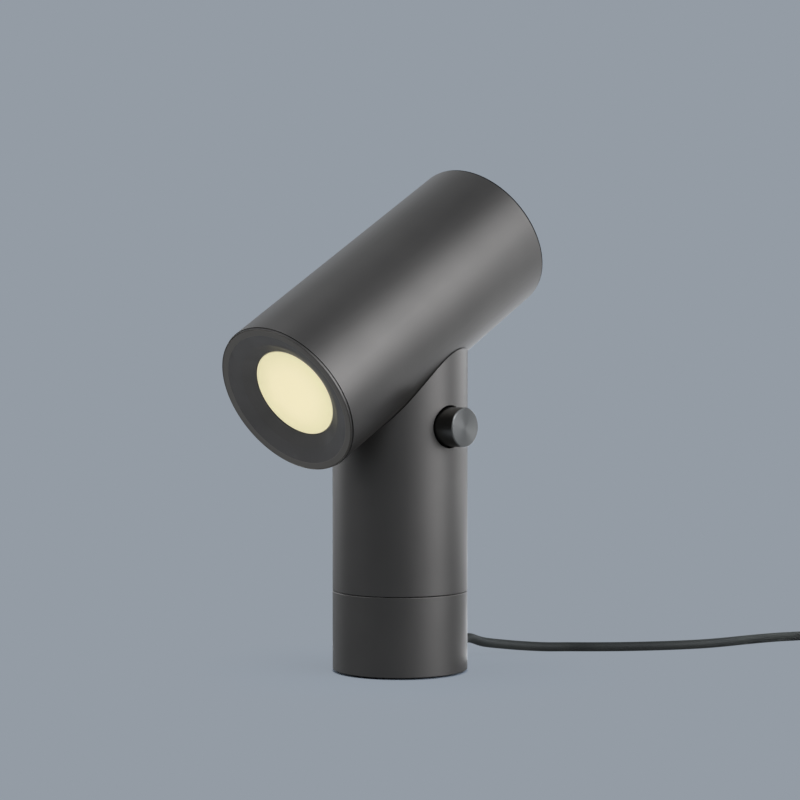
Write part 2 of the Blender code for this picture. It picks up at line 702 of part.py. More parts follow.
def make_top_plate():
    """A flanged disc at the sleeve's top: the stem glides on it, and the stop pin runs in its slot."""
    flange_bottom = PLATE_BOTTOM + TOP_PLATE_BODY
    bore = SPINDLE_RADIUS + GAP
    profile = [
        (FLANGE_RADIUS, PLATE_TOP),
        (FLANGE_RADIUS, flange_bottom),
        (BODY_RADIUS, flange_bottom),
        (BODY_RADIUS, PLATE_BOTTOM),
        (bore, PLATE_BOTTOM),
        (bore, PLATE_TOP),
    ]
    plate = add("top_plate", turned("top_plate", profile), "bare aluminium")
    drill_base_screws(
        plate, THREAD_RADIUS, PLATE_BOTTOM - OVERRUN, PLATE_BOTTOM + BASE_SCREW_BITE + GAP
    )
    slot_radius = STOP_PIN_RADIUS + GAP
    half = SWIVEL_TURN / 2
    start = pi - half
    outline = []
    for angle in np.linspace(0, 2 * half, TUBE_TURN * 2 // 3):
        reach = STOP_PIN_PLACE + slot_radius
        outline.append((reach * cos(start + angle), reach * sin(start + angle)))
    outline += slot_end(start + 2 * half, slot_radius, 0)
    for angle in np.linspace(2 * half, 0, TUBE_TURN * 2 // 3):
        reach = STOP_PIN_PLACE - slot_radius
        outline.append((reach * cos(start + angle), reach * sin(start + angle)))
    outline += slot_end(start, slot_radius, pi)
    slot = flat("stop_slot", [outline], PLATE_TOP - PLATE_BOTTOM + 2 * OVERRUN)
    slot.transform(Matrix.Translation((0, 0, (PLATE_TOP + PLATE_BOTTOM) / 2)))
    boolean(plate, add_cutter("stop_slot", slot))


def slot_end(angle, radius, turn):
    """The inner points of the half circle that closes a round slot at an angle."""
    centre = STOP_PIN_PLACE * cos(angle), STOP_PIN_PLACE * sin(angle)
    angles = [angle + turn + pi * step / 6 for step in range(1, 6)]
    return [(centre[0] + radius * cos(a), centre[1] + radius * sin(a)) for a in angles]


# Swivel


def make_swivel():
    """A hollow spindle hangs from the stem ring through the top plate, held by washers and a nut."""
    flange_bottom = RING_TOP + GAP
    profile = [
        (SPINDLE_FLANGE_RADIUS, flange_bottom + SPINDLE_FLANGE),
        (SPINDLE_FLANGE_RADIUS, flange_bottom),
        (SPINDLE_RADIUS, flange_bottom),
        (SPINDLE_RADIUS, NUT_BOTTOM - SPINDLE_TAIL),
        (SPINDLE_BORE, NUT_BOTTOM - SPINDLE_TAIL),
        (SPINDLE_BORE, flange_bottom + SPINDLE_FLANGE),
    ]
    add("spindle", turned("spindle", profile, TURN), "zinc plated", stem_frame)
    bore = SPINDLE_RADIUS + GAP
    top = PLATE_BOTTOM - GAP
    washer = ring("thrust_washer", bore, WASHER_RADIUS, top - WASHER_THICKNESS, top, TURN)
    add("thrust_washer", washer, "zinc plated", stem_frame)
    middle = top - WASHER_THICKNESS - GAP - WAVE_RISE - WAVE_THICKNESS / 2
    half = WAVE_THICKNESS / 2
    wave = ring("wave_washer", bore, WASHER_RADIUS, middle - half, middle + half, 2 * TURN)
    for vertex in wave.vertices:
        angle = np.arctan2(vertex.co.y, vertex.co.x)
        vertex.co.z += WAVE_RISE * cos(WAVE_COUNT * angle)
    add("wave_washer", wave, "zinc plated", stem_frame)
    nut = flat("spindle_nut", [hexagon(NUT_FLATS), circle(bore, TURN)], NUT_HEIGHT)
    nut.transform(Matrix.Translation((0, 0, (NUT_TOP + NUT_BOTTOM) / 2)))
    add("spindle_nut", nut, "zinc plated", stem_frame)
    inner = GLIDE_OUTER - GLIDE_WIDTH
    glide = ring("glide_ring", inner, GLIDE_OUTER, PLATE_TOP + GAP, STEM_BOTTOM - GAP)
    add("glide_ring", glide, "nylon")
    low, high = STEM_BOTTOM - STOP_PIN_REACH, STEM_BOTTOM + STOP_PIN_BITE
    pin = disc("stop_pin", STOP_PIN_RADIUS, low, high, SMALL_TURN)
    add("stop_pin", moved(pin, (-STOP_PIN_PLACE, 0, 0)), "zinc plated", stem_frame)


def tie_screw_tip(side):
    """The height of a tie screw's tip, near the top of its boss in the saddle bracket."""
    return saddle_underside(side) - GAP * 3


def saddle_underside(side):
    """The height of the saddle plate's underside over the tie screw at the front, -1, or back, 1."""
    return SADDLE_LOW + side * TIE_SCREW_PLACE * tan(HEAD_DIP)


def make_stem_ring():
    """A flanged disc in the stem's lower end that carries the spindle, the chassis and the stop pin."""
    flange_top = STEM_BOTTOM + TUBE_STEP_DEPTH - GAP
    bore = SPINDLE_RADIUS + GAP
    profile = [
        (BODY_RADIUS, RING_TOP),
        (BODY_RADIUS, flange_top),
        (FLANGE_RADIUS, flange_top),
        (FLANGE_RADIUS, STEM_BOTTOM),
        (bore, STEM_BOTTOM),
        (bore, RING_TOP),
    ]
    stem_ring = add("stem_ring", turned("stem_ring", profile), "bare aluminium", stem_frame)
    well = STEM_BOTTOM + TIE_HEAD_HEIGHT + 2 * GAP
    tie_hole = [
        (0, RING_TOP + OVERRUN),
        (THREAD_RADIUS, RING_TOP + OVERRUN),
        (THREAD_RADIUS, well),
        (SCREW_HEAD_RADIUS + GAP, well),
        (SCREW_HEAD_RADIUS + GAP, STEM_BOTTOM - OVERRUN),
        (0, STEM_BOTTOM - OVERRUN),
    ]
    for side, end in ((-1, "front"), (1, "back")):
        cutter = moved(turned("tie_hole", tie_hole, SMALL_TURN), (0, side * TIE_SCREW_PLACE, 0))
        boolean(stem_ring, add_cutter(f"tie_hole_{end}", cutter, stem_frame))
    low, high = STEM_BOTTOM - OVERRUN, STEM_BOTTOM + STOP_PIN_BITE + GAP
    pin_hole = disc("pin_hole", STOP_PIN_RADIUS + GAP, low, high, SMALL_TURN)
    boolean(stem_ring, add_cutter("pin_hole", moved(pin_hole, (-STOP_PIN_PLACE, 0, 0)), stem_frame))
    for side, (x, y) in zip(("left", "right"), chassis_screw_places()):
        hole = disc("hole", THREAD_RADIUS, RING_TOP - SCREW_BITE + GAP * 2, RING_TOP + OVERRUN, SMALL_TURN)
        boolean(stem_ring, add_cutter(f"ring_hole_{side}", moved(hole, (x, y, 0)), stem_frame))


# Stem


def make_stem_tube():
    """The upright tube: its top is notched to the head's curve and its side has the knob's hole."""
    step_bore = TUBE_BORE + TUBE_STEP
    profile = [
        (TUBE_RADIUS, HEAD_HEIGHT),
        (TUBE_RADIUS, STEM_BOTTOM + TUBE_CHAMFER),
        (TUBE_RADIUS - TUBE_CHAMFER, STEM_BOTTOM),
        (step_bore, STEM_BOTTOM),
        (step_bore, STEM_BOTTOM + TUBE_STEP_DEPTH),
        (TUBE_BORE, STEM_BOTTOM + TUBE_STEP_DEPTH),
        (TUBE_BORE, HEAD_HEIGHT),
    ]
    stem = add("stem_tube", turned("stem_tube", profile), "black anodised", stem_frame)
    notch = disc("notch", HEAD_RADIUS + GAP, -HEAD_BACK, HEAD_FRONT, HEAD_TURN)
    boolean(stem, add_cutter("notch", notch, head_frame))
    hole = disc("knob_hole", KNOB_RADIUS + KNOB_CLEARANCE, TUBE_BORE / 2, TUBE_RADIUS + OVERRUN, TUBE_TURN)
    boolean(stem, add_cutter("knob_hole", hole, knob_frame))


def make_saddle_bracket():
    """A curved plate under the head, trimmed to the stem's bore, with bosses for four screws."""
    low = STEM_BOTTOM + RING_HEIGHT
    blank = disc("saddle_bracket", BODY_RADIUS, low, HEAD_HEIGHT)
    plate = add("saddle_bracket", blank, "bare aluminium", stem_frame)
    shell = disc("saddle_shell", SADDLE_RADIUS, -HEAD_BACK, HEAD_FRONT, HEAD_TURN)
    boolean(plate, add_cutter("saddle_shell", shell, head_frame), "INTERSECT")
    for side, end in ((-1, "front"), (1, "back")):
        top = saddle_underside(side)
        boss = disc("boss", SADDLE_BOSS_RADIUS, top - TIE_BOSS_DEPTH, top + SADDLE_THICKNESS, TURN)
        boss = moved(boss, (0, side * TIE_SCREW_PLACE, 0))
        boolean(plate, add_cutter(f"tie_boss_{end}", boss, stem_frame), "UNION")
    for along, end in HEAD_SCREWS:
        start, reach = SADDLE_RADIUS - SADDLE_THICKNESS / 2, SADDLE_RADIUS + SADDLE_BOSS_DEPTH
        boss = disc("boss", SADDLE_BOSS_RADIUS, start, reach, TURN)
        boss = moved(boss, (0, 0, along), (0, -1, 0))
        boolean(plate, add_cutter(f"head_boss_{end}", boss, head_frame), "UNION")
    seat = disc("saddle_seat", HEAD_RADIUS + GAP, -HEAD_BACK, HEAD_FRONT, HEAD_TURN)
    boolean(plate, add_cutter("saddle_seat", seat, head_frame))
    for side, end in ((-1, "front"), (1, "back")):
        tip = tie_screw_tip(side)
        hole = disc("hole", THREAD_RADIUS, low - OVERRUN, tip + GAP, SMALL_TURN)
        hole = moved(hole, (0, side * TIE_SCREW_PLACE, 0))
        boolean(plate, add_cutter(f"tie_thread_{end}", hole, stem_frame))
    for along, end in HEAD_SCREWS:
        hole = disc("hole", THREAD_RADIUS, HEAD_RADIUS - OVERRUN, head_screw_tip() + GAP, SMALL_TURN)
        boolean(plate, add_cutter(f"head_thread_{end}", moved(hole, (0, 0, along), (0, -1, 0)), head_frame))
    boolean(plate, add_cutter("saddle_lead_hole", lead_hole(), head_frame))


def head_screw_tip():
    return SADDLE_RADIUS + SCREW_BITE


def lead_hole():
    """A hole for the LED lead through the head tube's wall and the saddle plate."""
    deep = HEAD_RADIUS + SADDLE_THICKNESS + OVERRUN
    hole = disc("lead_hole", LEAD_HOLE_RADIUS, HEAD_RADIUS / 2, deep, SMALL_TURN)
    return moved(hole, (LEAD_HOLE_ACROSS, 0, SADDLE_MIDDLE), (0, -1, 0))


def make_head_screws():
    """Two screws from inside the head down into the saddle bracket."""
    seat = sqrt(HEAD_BORE**2 - SCREW_HEAD_RADIUS**2) - GAP
    length = head_screw_tip() - seat
    for along, end in HEAD_SCREWS:
        name = f"head_screw_{end}"
        mesh = cap_screw_mesh(name, SCREW_RADIUS, length, SCREW_HEAD_RADIUS, SCREW_HEAD_HEIGHT)
        add(name, moved(mesh, (0, -seat, along), (0, 1, 0)), "zinc plated", head_frame)


def make_tie_screws():
    """Two long screws from under the stem ring up into the saddle bracket, which clamp the stem tube."""
    seat = STEM_BOTTOM + TIE_HEAD_HEIGHT + GAP
    for side, end in ((-1, "front"), (1, "back")):
        name = f"tie_screw_{end}"
        length = tie_screw_tip(side) - seat
        mesh = cap_screw_mesh(name, SCREW_RADIUS, length, SCREW_HEAD_RADIUS, TIE_HEAD_HEIGHT)
        add(name, moved(mesh, (0, side * TIE_SCREW_PLACE, seat), (0, 0, -1)), "zinc plated", stem_frame)


# Chassis, driver and dimmer


def chassis_screw_places():
    x = CHASSIS_OUTER - CHASSIS_TAB / 2
    return (x, -CHASSIS_SCREW_SPREAD), (x, CHASSIS_SCREW_SPREAD)


def make_chassis():
    """A bent sheet: a foot notched round the spindle, and an upright that narrows at the dimmer."""
    foot_bottom = RING_TOP + GAP
    neck_low = KNOB_HEIGHT - CHASSIS_NECK_DROP
    top = KNOB_HEIGHT + CHASSIS_NECK_RISE
    half, neck = CHASSIS_HALF, CHASSIS_NECK_WIDTH / 2
    corner = CHASSIS_CORNER
    outline = [
        (foot_bottom, -half),
        (foot_bottom, half),
        (neck_low - corner, half),
        (neck_low, half - corner),
        (neck_low + corner, neck),
        (top - corner, neck),
        (top, neck - corner),
        (top, corner - neck),
        (top - corner, -neck),
        (neck_low + corner, -neck),
        (neck_low, corner - half),
        (neck_low - corner, -half),
    ]
    bush = circle(BUSH_RADIUS + GAP, TURN, (KNOB_HEIGHT, 0))
    upright = flat("chassis", [outline, bush], CHASSIS_THICKNESS)
    upright.transform(Matrix.Rotation(-pi / 2, 4, "Y"))
    upright.transform(Matrix.Translation((CHASSIS_OUTER - CHASSIS_THICKNESS / 2, 0, 0)))
    chassis = add("chassis", upright, "zinc plated", stem_frame)
    foot_outline = [
        (CHASSIS_OUTER - CHASSIS_TAB, corner - half),
        (CHASSIS_OUTER - CHASSIS_TAB + corner, -half),
        (CHASSIS_OUTER - CHASSIS_THICKNESS / 2, -half),
        (CHASSIS_OUTER - CHASSIS_THICKNESS / 2, half),
        (CHASSIS_OUTER - CHASSIS_TAB + corner, half),
        (CHASSIS_OUTER - CHASSIS_TAB, half - corner),
    ]
    holes = [circle(THREAD_RADIUS, SMALL_TURN, place) for place in chassis_screw_places()]
    foot = flat("chassis_foot", [foot_outline, *holes], CHASSIS_THICKNESS)
    foot.transform(Matrix.Translation((0, 0, foot_bottom + CHASSIS_THICKNESS / 2)))
    boolean(chassis, add_cutter("chassis_foot", foot, stem_frame), "UNION")
    low, high = foot_bottom - OVERRUN, foot_bottom + CHASSIS_THICKNESS + OVERRUN
    notch = disc("chassis_notch", SPINDLE_FLANGE_RADIUS + 2 * OVERRUN / 3, low, high, TURN)
    boolean(chassis, add_cutter("chassis_notch", notch, stem_frame))
    spread = BOARD_WIDTH / 2 - STANDOFF_INSET
    number = 0
    for height in (BOARD_BOTTOM + STANDOFF_INSET, BOARD_BOTTOM + BOARD_LENGTH - STANDOFF_INSET):
        for y in (-spread, spread):
            number += 1
            post = disc("post", STANDOFF_RADIUS, GAP, BOARD_STANDOFF + CHASSIS_THICKNESS / 2, SMALL_TURN)
            post = moved(post, (BOARD_OUTER, y, height), (1, 0, 0))
            boolean(chassis, add_cutter(f"standoff_{number}", post, stem_frame), "UNION")


def make_chassis_screws():
    seat = RING_TOP + 2 * GAP + CHASSIS_THICKNESS
    length = seat - (RING_TOP - SCREW_BITE + 3 * GAP)
    for side, (x, y) in zip(("left", "right"), chassis_screw_places()):
        name = f"chassis_screw_{side}"
        mesh = cap_screw_mesh(name, SCREW_RADIUS, length, SCREW_HEAD_RADIUS, SCREW_HEAD_HEIGHT)
        add(name, moved(mesh, (x, y, seat)), "zinc plated", stem_frame)


def make_driver():
    """The LED driver: a board on the chassis with a transformer, a capacitor and a terminal block."""
    middle = (BOARD_BOTTOM + BOARD_TOP) / 2
    board = flat("driver_board", [rounded_box(BOARD_LENGTH, BOARD_WIDTH, COMPONENT_EDGE)], BOARD_THICKNESS)
    board.transform(Matrix.Rotation(-pi / 2, 4, "Y"))
    board.transform(Matrix.Translation((BOARD_OUTER - BOARD_THICKNESS / 2, 0, middle)))
    add("driver_board", board, "board", stem_frame)
    face = BOARD_INNER - GAP
    size = TRANSFORMER_SIZE
    tall = BOARD_LENGTH * TRANSFORMER_HEIGHT_SHARE
    place = (face - size / 2, 0, BOARD_BOTTOM + BOARD_LENGTH * TRANSFORMER_PLACE_SHARE)
    core = block("transformer", (size, size, tall), place, COMPONENT_EDGE)
    core = add("transformer", core, "black paint", stem_frame)
    waist = ring("waist", TRANSFORMER_WAIST / 2, size, -size / 4, size / 4, TURN)
    boolean(core, add_cutter("transformer_waist", moved(waist, place, (1, 0, 0)), stem_frame))
    edge = COMPONENT_EDGE
    low = face - CAPACITOR_LENGTH
    profile = [
        (0, face),
        (CAPACITOR_RADIUS, face),
        (CAPACITOR_RADIUS, low + edge),
        (CAPACITOR_RADIUS - edge, low),
        (0, low),
    ]
    capacitor = turned("capacitor", profile, TURN)
    height = BOARD_BOTTOM + BOARD_LENGTH * CAPACITOR_PLACE_SHARE
    side = BOARD_WIDTH / 2 - CAPACITOR_RADIUS - edge
    capacitor.transform(Matrix.Rotation(pi / 2, 4, "Y"))
    capacitor.transform(Matrix.Translation((0, -side, height)))
    add("capacitor", capacitor, "black plastic", stem_frame)
    length = face + TERMINAL_WIDTH / 2
    tall = BOARD_LENGTH * TERMINAL_HEIGHT_SHARE
    place = (face - length / 2, 0, TERMINAL_BOTTOM + tall / 2)
    terminal = block("terminal_block", (length, TERMINAL_WIDTH, tall), place, COMPONENT_EDGE)
    add("terminal_block", terminal, "nylon", stem_frame)


def make_dimmer():
    """A rotary dimmer behind the chassis, its bush held by a nut, and its shaft in the knob."""
    can_front = CHASSIS_PLACE - GAP
    bush_tip = CHASSIS_OUTER + BUSH_LENGTH
    bore_floor = DIMMER_BACK + DIMMER_CAN / 2
    profile = [
        (0, bore_floor),
        (SHAFT_BORE, bore_floor),
        (SHAFT_BORE, bush_tip),
        (BUSH_RADIUS, bush_tip),
        (BUSH_RADIUS, can_front),
        (DIMMER_RADIUS, can_front),
        (DIMMER_RADIUS, DIMMER_BACK + COMPONENT_EDGE),
        (DIMMER_RADIUS - COMPONENT_EDGE, DIMMER_BACK),
        (0, DIMMER_BACK),
    ]
    add("dimmer_body", turned("dimmer_body", profile, TURN), "zinc plated", dimmer_frame)
    nut = flat("dimmer_nut", [hexagon(BUSH_NUT_FLATS), circle(BUSH_RADIUS + GAP, TURN)], BUSH_NUT_HEIGHT)
    nut.transform(Matrix.Translation((0, 0, CHASSIS_OUTER + GAP + BUSH_NUT_HEIGHT / 2)))
    add("dimmer_nut", nut, "brass", dimmer_frame)


def flatted(name, radius, flat_place, low, high):
    """A round bar along Z with one flat, as an outline extruded from low to high."""
    half = acos(flat_place / radius)
    angles = np.linspace(half, 2 * pi - half, TURN)
    mesh = flat(name, [[(radius * cos(a), radius * sin(a)) for a in angles]], high - low)
    mesh.transform(Matrix.Translation((0, 0, (low + high) / 2)))
    return mesh


def make_knob():
    """A turned knob with a thin chamfer round its face, on a shaft with one flat."""
    profile = [
        (0, KNOB_FACE),
        (KNOB_RADIUS - KNOB_CHAMFER, KNOB_FACE),
        (KNOB_RADIUS, KNOB_FACE - KNOB_CHAMFER),
        (KNOB_RADIUS, KNOB_BACK + KNOB_CHAMFER),
        (KNOB_RADIUS - KNOB_CHAMFER, KNOB_BACK),
        (0, KNOB_BACK),
    ]
    knob = add("dimmer_knob", turned("dimmer_knob", profile), "knob metal", knob_frame)
    bore = flatted("knob_bore", SHAFT_BORE, SHAFT_FLAT + GAP, KNOB_BACK - OVERRUN, SHAFT_TIP + GAP)
    boolean(knob, add_cutter("knob_bore", bore, knob_frame))
    root = DIMMER_BACK + DIMMER_CAN / 2 + GAP
    shaft = flatted("dimmer_shaft", SHAFT_RADIUS, SHAFT_FLAT, root, SHAFT_TIP)
    add("dimmer_shaft", shaft, "brass", knob_frame)


# Head


def depth(value):
    """A height along the head's axis from a depth behind the head's front edge."""
    return HEAD_FRONT - value


def make_head_tube():
    """A tube open at both ends, stepped inside them, with holes below for two screws and a lead."""
    profile = [
        (HEAD_RADIUS - HEAD_CHAMFER, HEAD_FRONT),
        (HEAD_RADIUS, HEAD_FRONT - HEAD_CHAMFER),
        (HEAD_RADIUS, -HEAD_BACK + HEAD_CHAMFER),
        (HEAD_RADIUS - HEAD_CHAMFER, -HEAD_BACK),
        (HEAD_RIM_BORE, -HEAD_BACK),
        (HEAD_RIM_BORE, -HEAD_BACK + HEAD_STEP_DEPTH),
        (HEAD_BORE, -HEAD_BACK + HEAD_STEP_DEPTH),
        (HEAD_BORE, HEAD_FRONT - HEAD_STEP_DEPTH),
        (HEAD_RIM_BORE, HEAD_FRONT - HEAD_STEP_DEPTH),
        (HEAD_RIM_BORE, HEAD_FRONT),
    ]
    head = add("head_tube", turned("head_tube", profile, HEAD_TURN), "black anodised", head_frame)
    for along, end in HEAD_SCREWS:
        hole = disc("hole", THREAD_RADIUS, HEAD_BORE - OVERRUN, HEAD_RADIUS + OVERRUN, SMALL_TURN)
        boolean(head, add_cutter(f"head_hole_{end}", moved(hole, (0, 0, along), (0, -1, 0)), head_frame))
    boolean(head, add_cutter("head_lead_hole", lead_hole(), head_frame))


def make_head_cap():
    """The back cap: a disc with a short rim inside the tube and a boss for the stud."""
    back = -HEAD_BACK + CAP_RECESS
    shoulder = -HEAD_BACK + HEAD_STEP_DEPTH - GAP
    rim_inner = SKIRT_RADIUS - CAP_RIM_WALL
    hole_floor = back + CAP_BOSS_DEPTH - STUD_BITE
    profile = [
        (0, hole_floor),
        (STUD_RADIUS + GAP, hole_floor),
        (STUD_RADIUS + GAP, back + CAP_BOSS_DEPTH),
        (CAP_BOSS_RADIUS, back + CAP_BOSS_DEPTH),
        (CAP_BOSS_RADIUS, back + CAP_THICKNESS),
        (rim_inner, back + CAP_THICKNESS),
        (rim_inner, back + CAP_RIM_DEPTH),
        (SKIRT_RADIUS, back + CAP_RIM_DEPTH),
        (SKIRT_RADIUS, shoulder),
        (BAFFLE_RADIUS, shoulder),
        (BAFFLE_RADIUS, back + HEAD_CHAMFER),
        (BAFFLE_RADIUS - HEAD_CHAMFER, back),
        (0, back),
    ]
    add("head_cap", turned("head_cap", profile), "black anodised", head_frame)


def make_cap_stud():
    """A threaded stud between the heat sink and the back cap."""
    low = -HEAD_BACK + CAP_RECESS + CAP_BOSS_DEPTH - STUD_BITE + GAP
    high = depth(FIN_BACK - STUD_BITE) - GAP
    add("cap_stud", disc("cap_stud", STUD_RADIUS, low, high, SMALL_TURN), "zinc plated", head_frame)


def make_baffle():
    """The front ring: a flat rim, a small drop and a shallow cone, with three posts behind."""
    inner_rim = BAFFLE_RADIUS - BAFFLE_RIM
    skirt_inner = SKIRT_RADIUS - BAFFLE_SKIRT_WALL
    slope = (BAFFLE_DEPTH - BAFFLE_DROP) / (inner_rim - BAFFLE_MOUTH_RADIUS)
    skirt_top = BAFFLE_DEPTH + BAFFLE_THICKNESS - slope * (skirt_inner - BAFFLE_MOUTH_RADIUS)
    edge = GAP
    profile = [
        (BAFFLE_RADIUS - edge, depth(0)),
        (BAFFLE_RADIUS, depth(edge)),
        (BAFFLE_RADIUS, depth(HEAD_STEP_DEPTH - GAP)),
        (SKIRT_RADIUS, depth(HEAD_STEP_DEPTH - GAP)),
        (SKIRT_RADIUS, depth(BAFFLE_SKIRT_DEPTH)),
        (skirt_inner, depth(BAFFLE_SKIRT_DEPTH)),
        (skirt_inner, depth(skirt_top)),
        (BAFFLE_MOUTH_RADIUS, depth(BAFFLE_DEPTH + BAFFLE_THICKNESS)),
        (BAFFLE_MOUTH_RADIUS, depth(BAFFLE_DEPTH)),
        (inner_rim, depth(BAFFLE_DROP)),
        (inner_rim, depth(edge)),
        (inner_rim + edge, depth(0)),
    ]
    baffle = add("baffle", turned("baffle", profile, HEAD_TURN), "black paint", head_frame)
    low, thread = depth(SINK_FRONT - GAP), SINK_SCREW_RADIUS + GAP
    drilled = low + SINK_SCREW_BITE
    profile = [
        (0, depth(0)),
        (POST_RADIUS, depth(0)),
        (POST_RADIUS, low),
        (thread, low),
        (thread, drilled),
        (0, drilled),
    ]
    for number, (x, y) in enumerate(post_places(), 1):
        post = moved(turned("post", profile, SMALL_TURN), (x, y, 0))
        for vertex in post.vertices:
            if vertex.co.z > drilled + POST_RADIUS:
                outwards = vertex.co.xy.length - BAFFLE_MOUTH_RADIUS
                vertex.co.z = depth(BAFFLE_DEPTH + BAFFLE_THICKNESS / 2 - slope * outwards)
        boolean(baffle, add_cutter(f"post_{number}", post, head_frame), "UNION")


def post_places():
    """The posts stand between fins, a little off the plane of symmetry."""
    for number in range(POST_COUNT):
        angle = pi / 2 + POST_SHIFT + 2 * pi * number / POST_COUNT
        yield POST_PLACE * cos(angle), POST_PLACE * sin(angle)


def make_diffuser():
    """A stepped opal disc: its raised middle fills the baffle's mouth."""
    mouth = BAFFLE_MOUTH_RADIUS - GAP
    flange = depth(DIFFUSER_FLANGE_FRONT)
    profile = [
        (0, depth(DIFFUSER_FRONT)),
        (mouth, depth(DIFFUSER_FRONT)),
        (mouth, flange),
        (DIFFUSER_FLANGE_RADIUS, flange),
        (DIFFUSER_FLANGE_RADIUS, flange - DIFFUSER_FLANGE),
        (0, flange - DIFFUSER_FLANGE),
    ]
    add("diffuser", turned("diffuser", profile), "opal", head_frame)


def make_reflector_cup():
    """A white cone that carries the light from the chip to the diffuser."""
    front, back = depth(CUP_FRONT), depth(CUP_FRONT + CUP_DEPTH)
    rim, mouth = DIFFUSER_FLANGE_RADIUS - GAP, BAFFLE_MOUTH_RADIUS + CUP_FRONT_LAP
    profile = [
        (rim, front),
        (rim, front - CUP_WALL),
        (mouth + CUP_WALL / 2, front - CUP_WALL),
        (CUP_NECK_RADIUS + CUP_WALL, back + CUP_WALL),
        (CUP_NECK_RADIUS + CUP_WALL, back),
        (CUP_NECK_RADIUS, back),
        (CUP_NECK_RADIUS, back + CUP_WALL),
        (mouth - CUP_WALL / 2, front),
    ]
    add("reflector_cup", turned("reflector_cup", profile), "white reflector", head_frame)


def make_led():
    """A round board on the heat sink with one chip in its middle."""
    front = depth(LED_BOARD_FRONT)
    board = disc("led_board", LED_BOARD_RADIUS, front - LED_BOARD_THICKNESS, front)
    add("led_board", board, "white reflector", head_frame)
    low = front + GAP
    chip = disc("led_chip", LED_CHIP_RADIUS, low, low + LED_CHIP_THICKNESS, TURN)
    add("led_chip", chip, "chip", head_frame)


def make_heat_sink():
    """A disc with a core and radial fins behind it, drilled for three screws, the stud and the lead."""
    top, disc_back, fin_back = depth(SINK_FRONT), depth(SINK_BACK), depth(FIN_BACK)
    profile = [
        (0, top),
        (SKIRT_RADIUS, top),
        (SKIRT_RADIUS, disc_back),
        (SINK_CORE_RADIUS, disc_back),
        (SINK_CORE_RADIUS, fin_back),
        (0, fin_back),
    ]
    sink = add("heat_sink", turned("heat_sink", profile), "bare aluminium", head_frame)
    start = SINK_CORE_RADIUS - SINK_FIN_THICKNESS
    length = SINK_FIN_REACH - start
    low = fin_back + SINK_CORE_RADIUS / 8
    high = disc_back + SINK_DISC / 2
    for number in range(SINK_FIN_COUNT):
        size = (length, SINK_FIN_THICKNESS, high - low)
        fin = block("fin", size, (start + length / 2, 0, (low + high) / 2))
        fin.transform(Matrix.Rotation(2 * pi * number / SINK_FIN_COUNT, 4, "Z"))
        boolean(sink, add_cutter(f"fin_{number + 1}", fin, head_frame), "UNION")
    for number, (x, y) in enumerate(post_places(), 1):
        hole = disc("hole", SINK_SCREW_RADIUS + GAP, disc_back - OVERRUN, top + OVERRUN, SMALL_TURN)
        boolean(sink, add_cutter(f"sink_hole_{number}", moved(hole, (x, y, 0)), head_frame))
    stud_hole = disc("stud_hole", STUD_RADIUS + GAP, fin_back - OVERRUN, fin_back + STUD_BITE, SMALL_TURN)
    boolean(sink, add_cutter("stud_hole", stud_hole, head_frame))
    wire_hole = disc("wire_hole", WIRE_HOLE_RADIUS, disc_back - OVERRUN, top + OVERRUN, SMALL_TURN)
    boolean(sink, add_cutter("wire_hole", moved(wire_hole, (0, -WIRE_HOLE_PLACE, 0)), head_frame))


def make_sink_screws():
    seat = depth(SINK_BACK) - GAP
    length = SINK_DISC + 2 * GAP + SINK_SCREW_BITE - GAP
    for number, (x, y) in enumerate(post_places(), 1):
        name = f"sink_screw_{number}"
        mesh = cap_screw_mesh(name, SINK_SCREW_RADIUS, length, SINK_SCREW_HEAD, SINK_SCREW_HEAD_HEIGHT)
        add(name, moved(mesh, (x, y, seat), (0, 0, -1)), "zinc plated", head_frame)


# Leads, cord, coil and plug


def make_strain_relief():
    """A tapered boot: its flange sits inside the sleeve and its tip meets the cord."""
    profile = [
        (0, BOOT_TIP),
        (BOOT_TIP_RADIUS, BOOT_TIP),
        (BOOT_NECK_RADIUS, TUBE_RADIUS + BOOT_FLANGE),
        (BOOT_NECK_RADIUS, BOOT_SEAT),
        (BOOT_FLANGE_RADIUS, BOOT_SEAT),
        (BOOT_FLANGE_RADIUS, BOOT_SEAT - BOOT_FLANGE),
        (0, BOOT_SEAT - BOOT_FLANGE),
    ]
    add("strain_relief", turned("strain_relief", profile, TURN), "rubber", cord_frame)
    bore = INNER_LEAD_RADIUS + GAP
    low, high = ANCHOR_PLACE - ANCHOR_LENGTH / 2, ANCHOR_PLACE + ANCHOR_LENGTH / 2
    add("cord_anchor", ring("cord_anchor", bore, ANCHOR_RADIUS, low, high, TURN), "nylon", cord_frame)


def between(start, end, shares):
    """Places at shares of the way from start to end, each direction with its own share."""
    return [tuple(a + (b - a) * share for a, b, share in zip(start, end, row)) for row in shares]


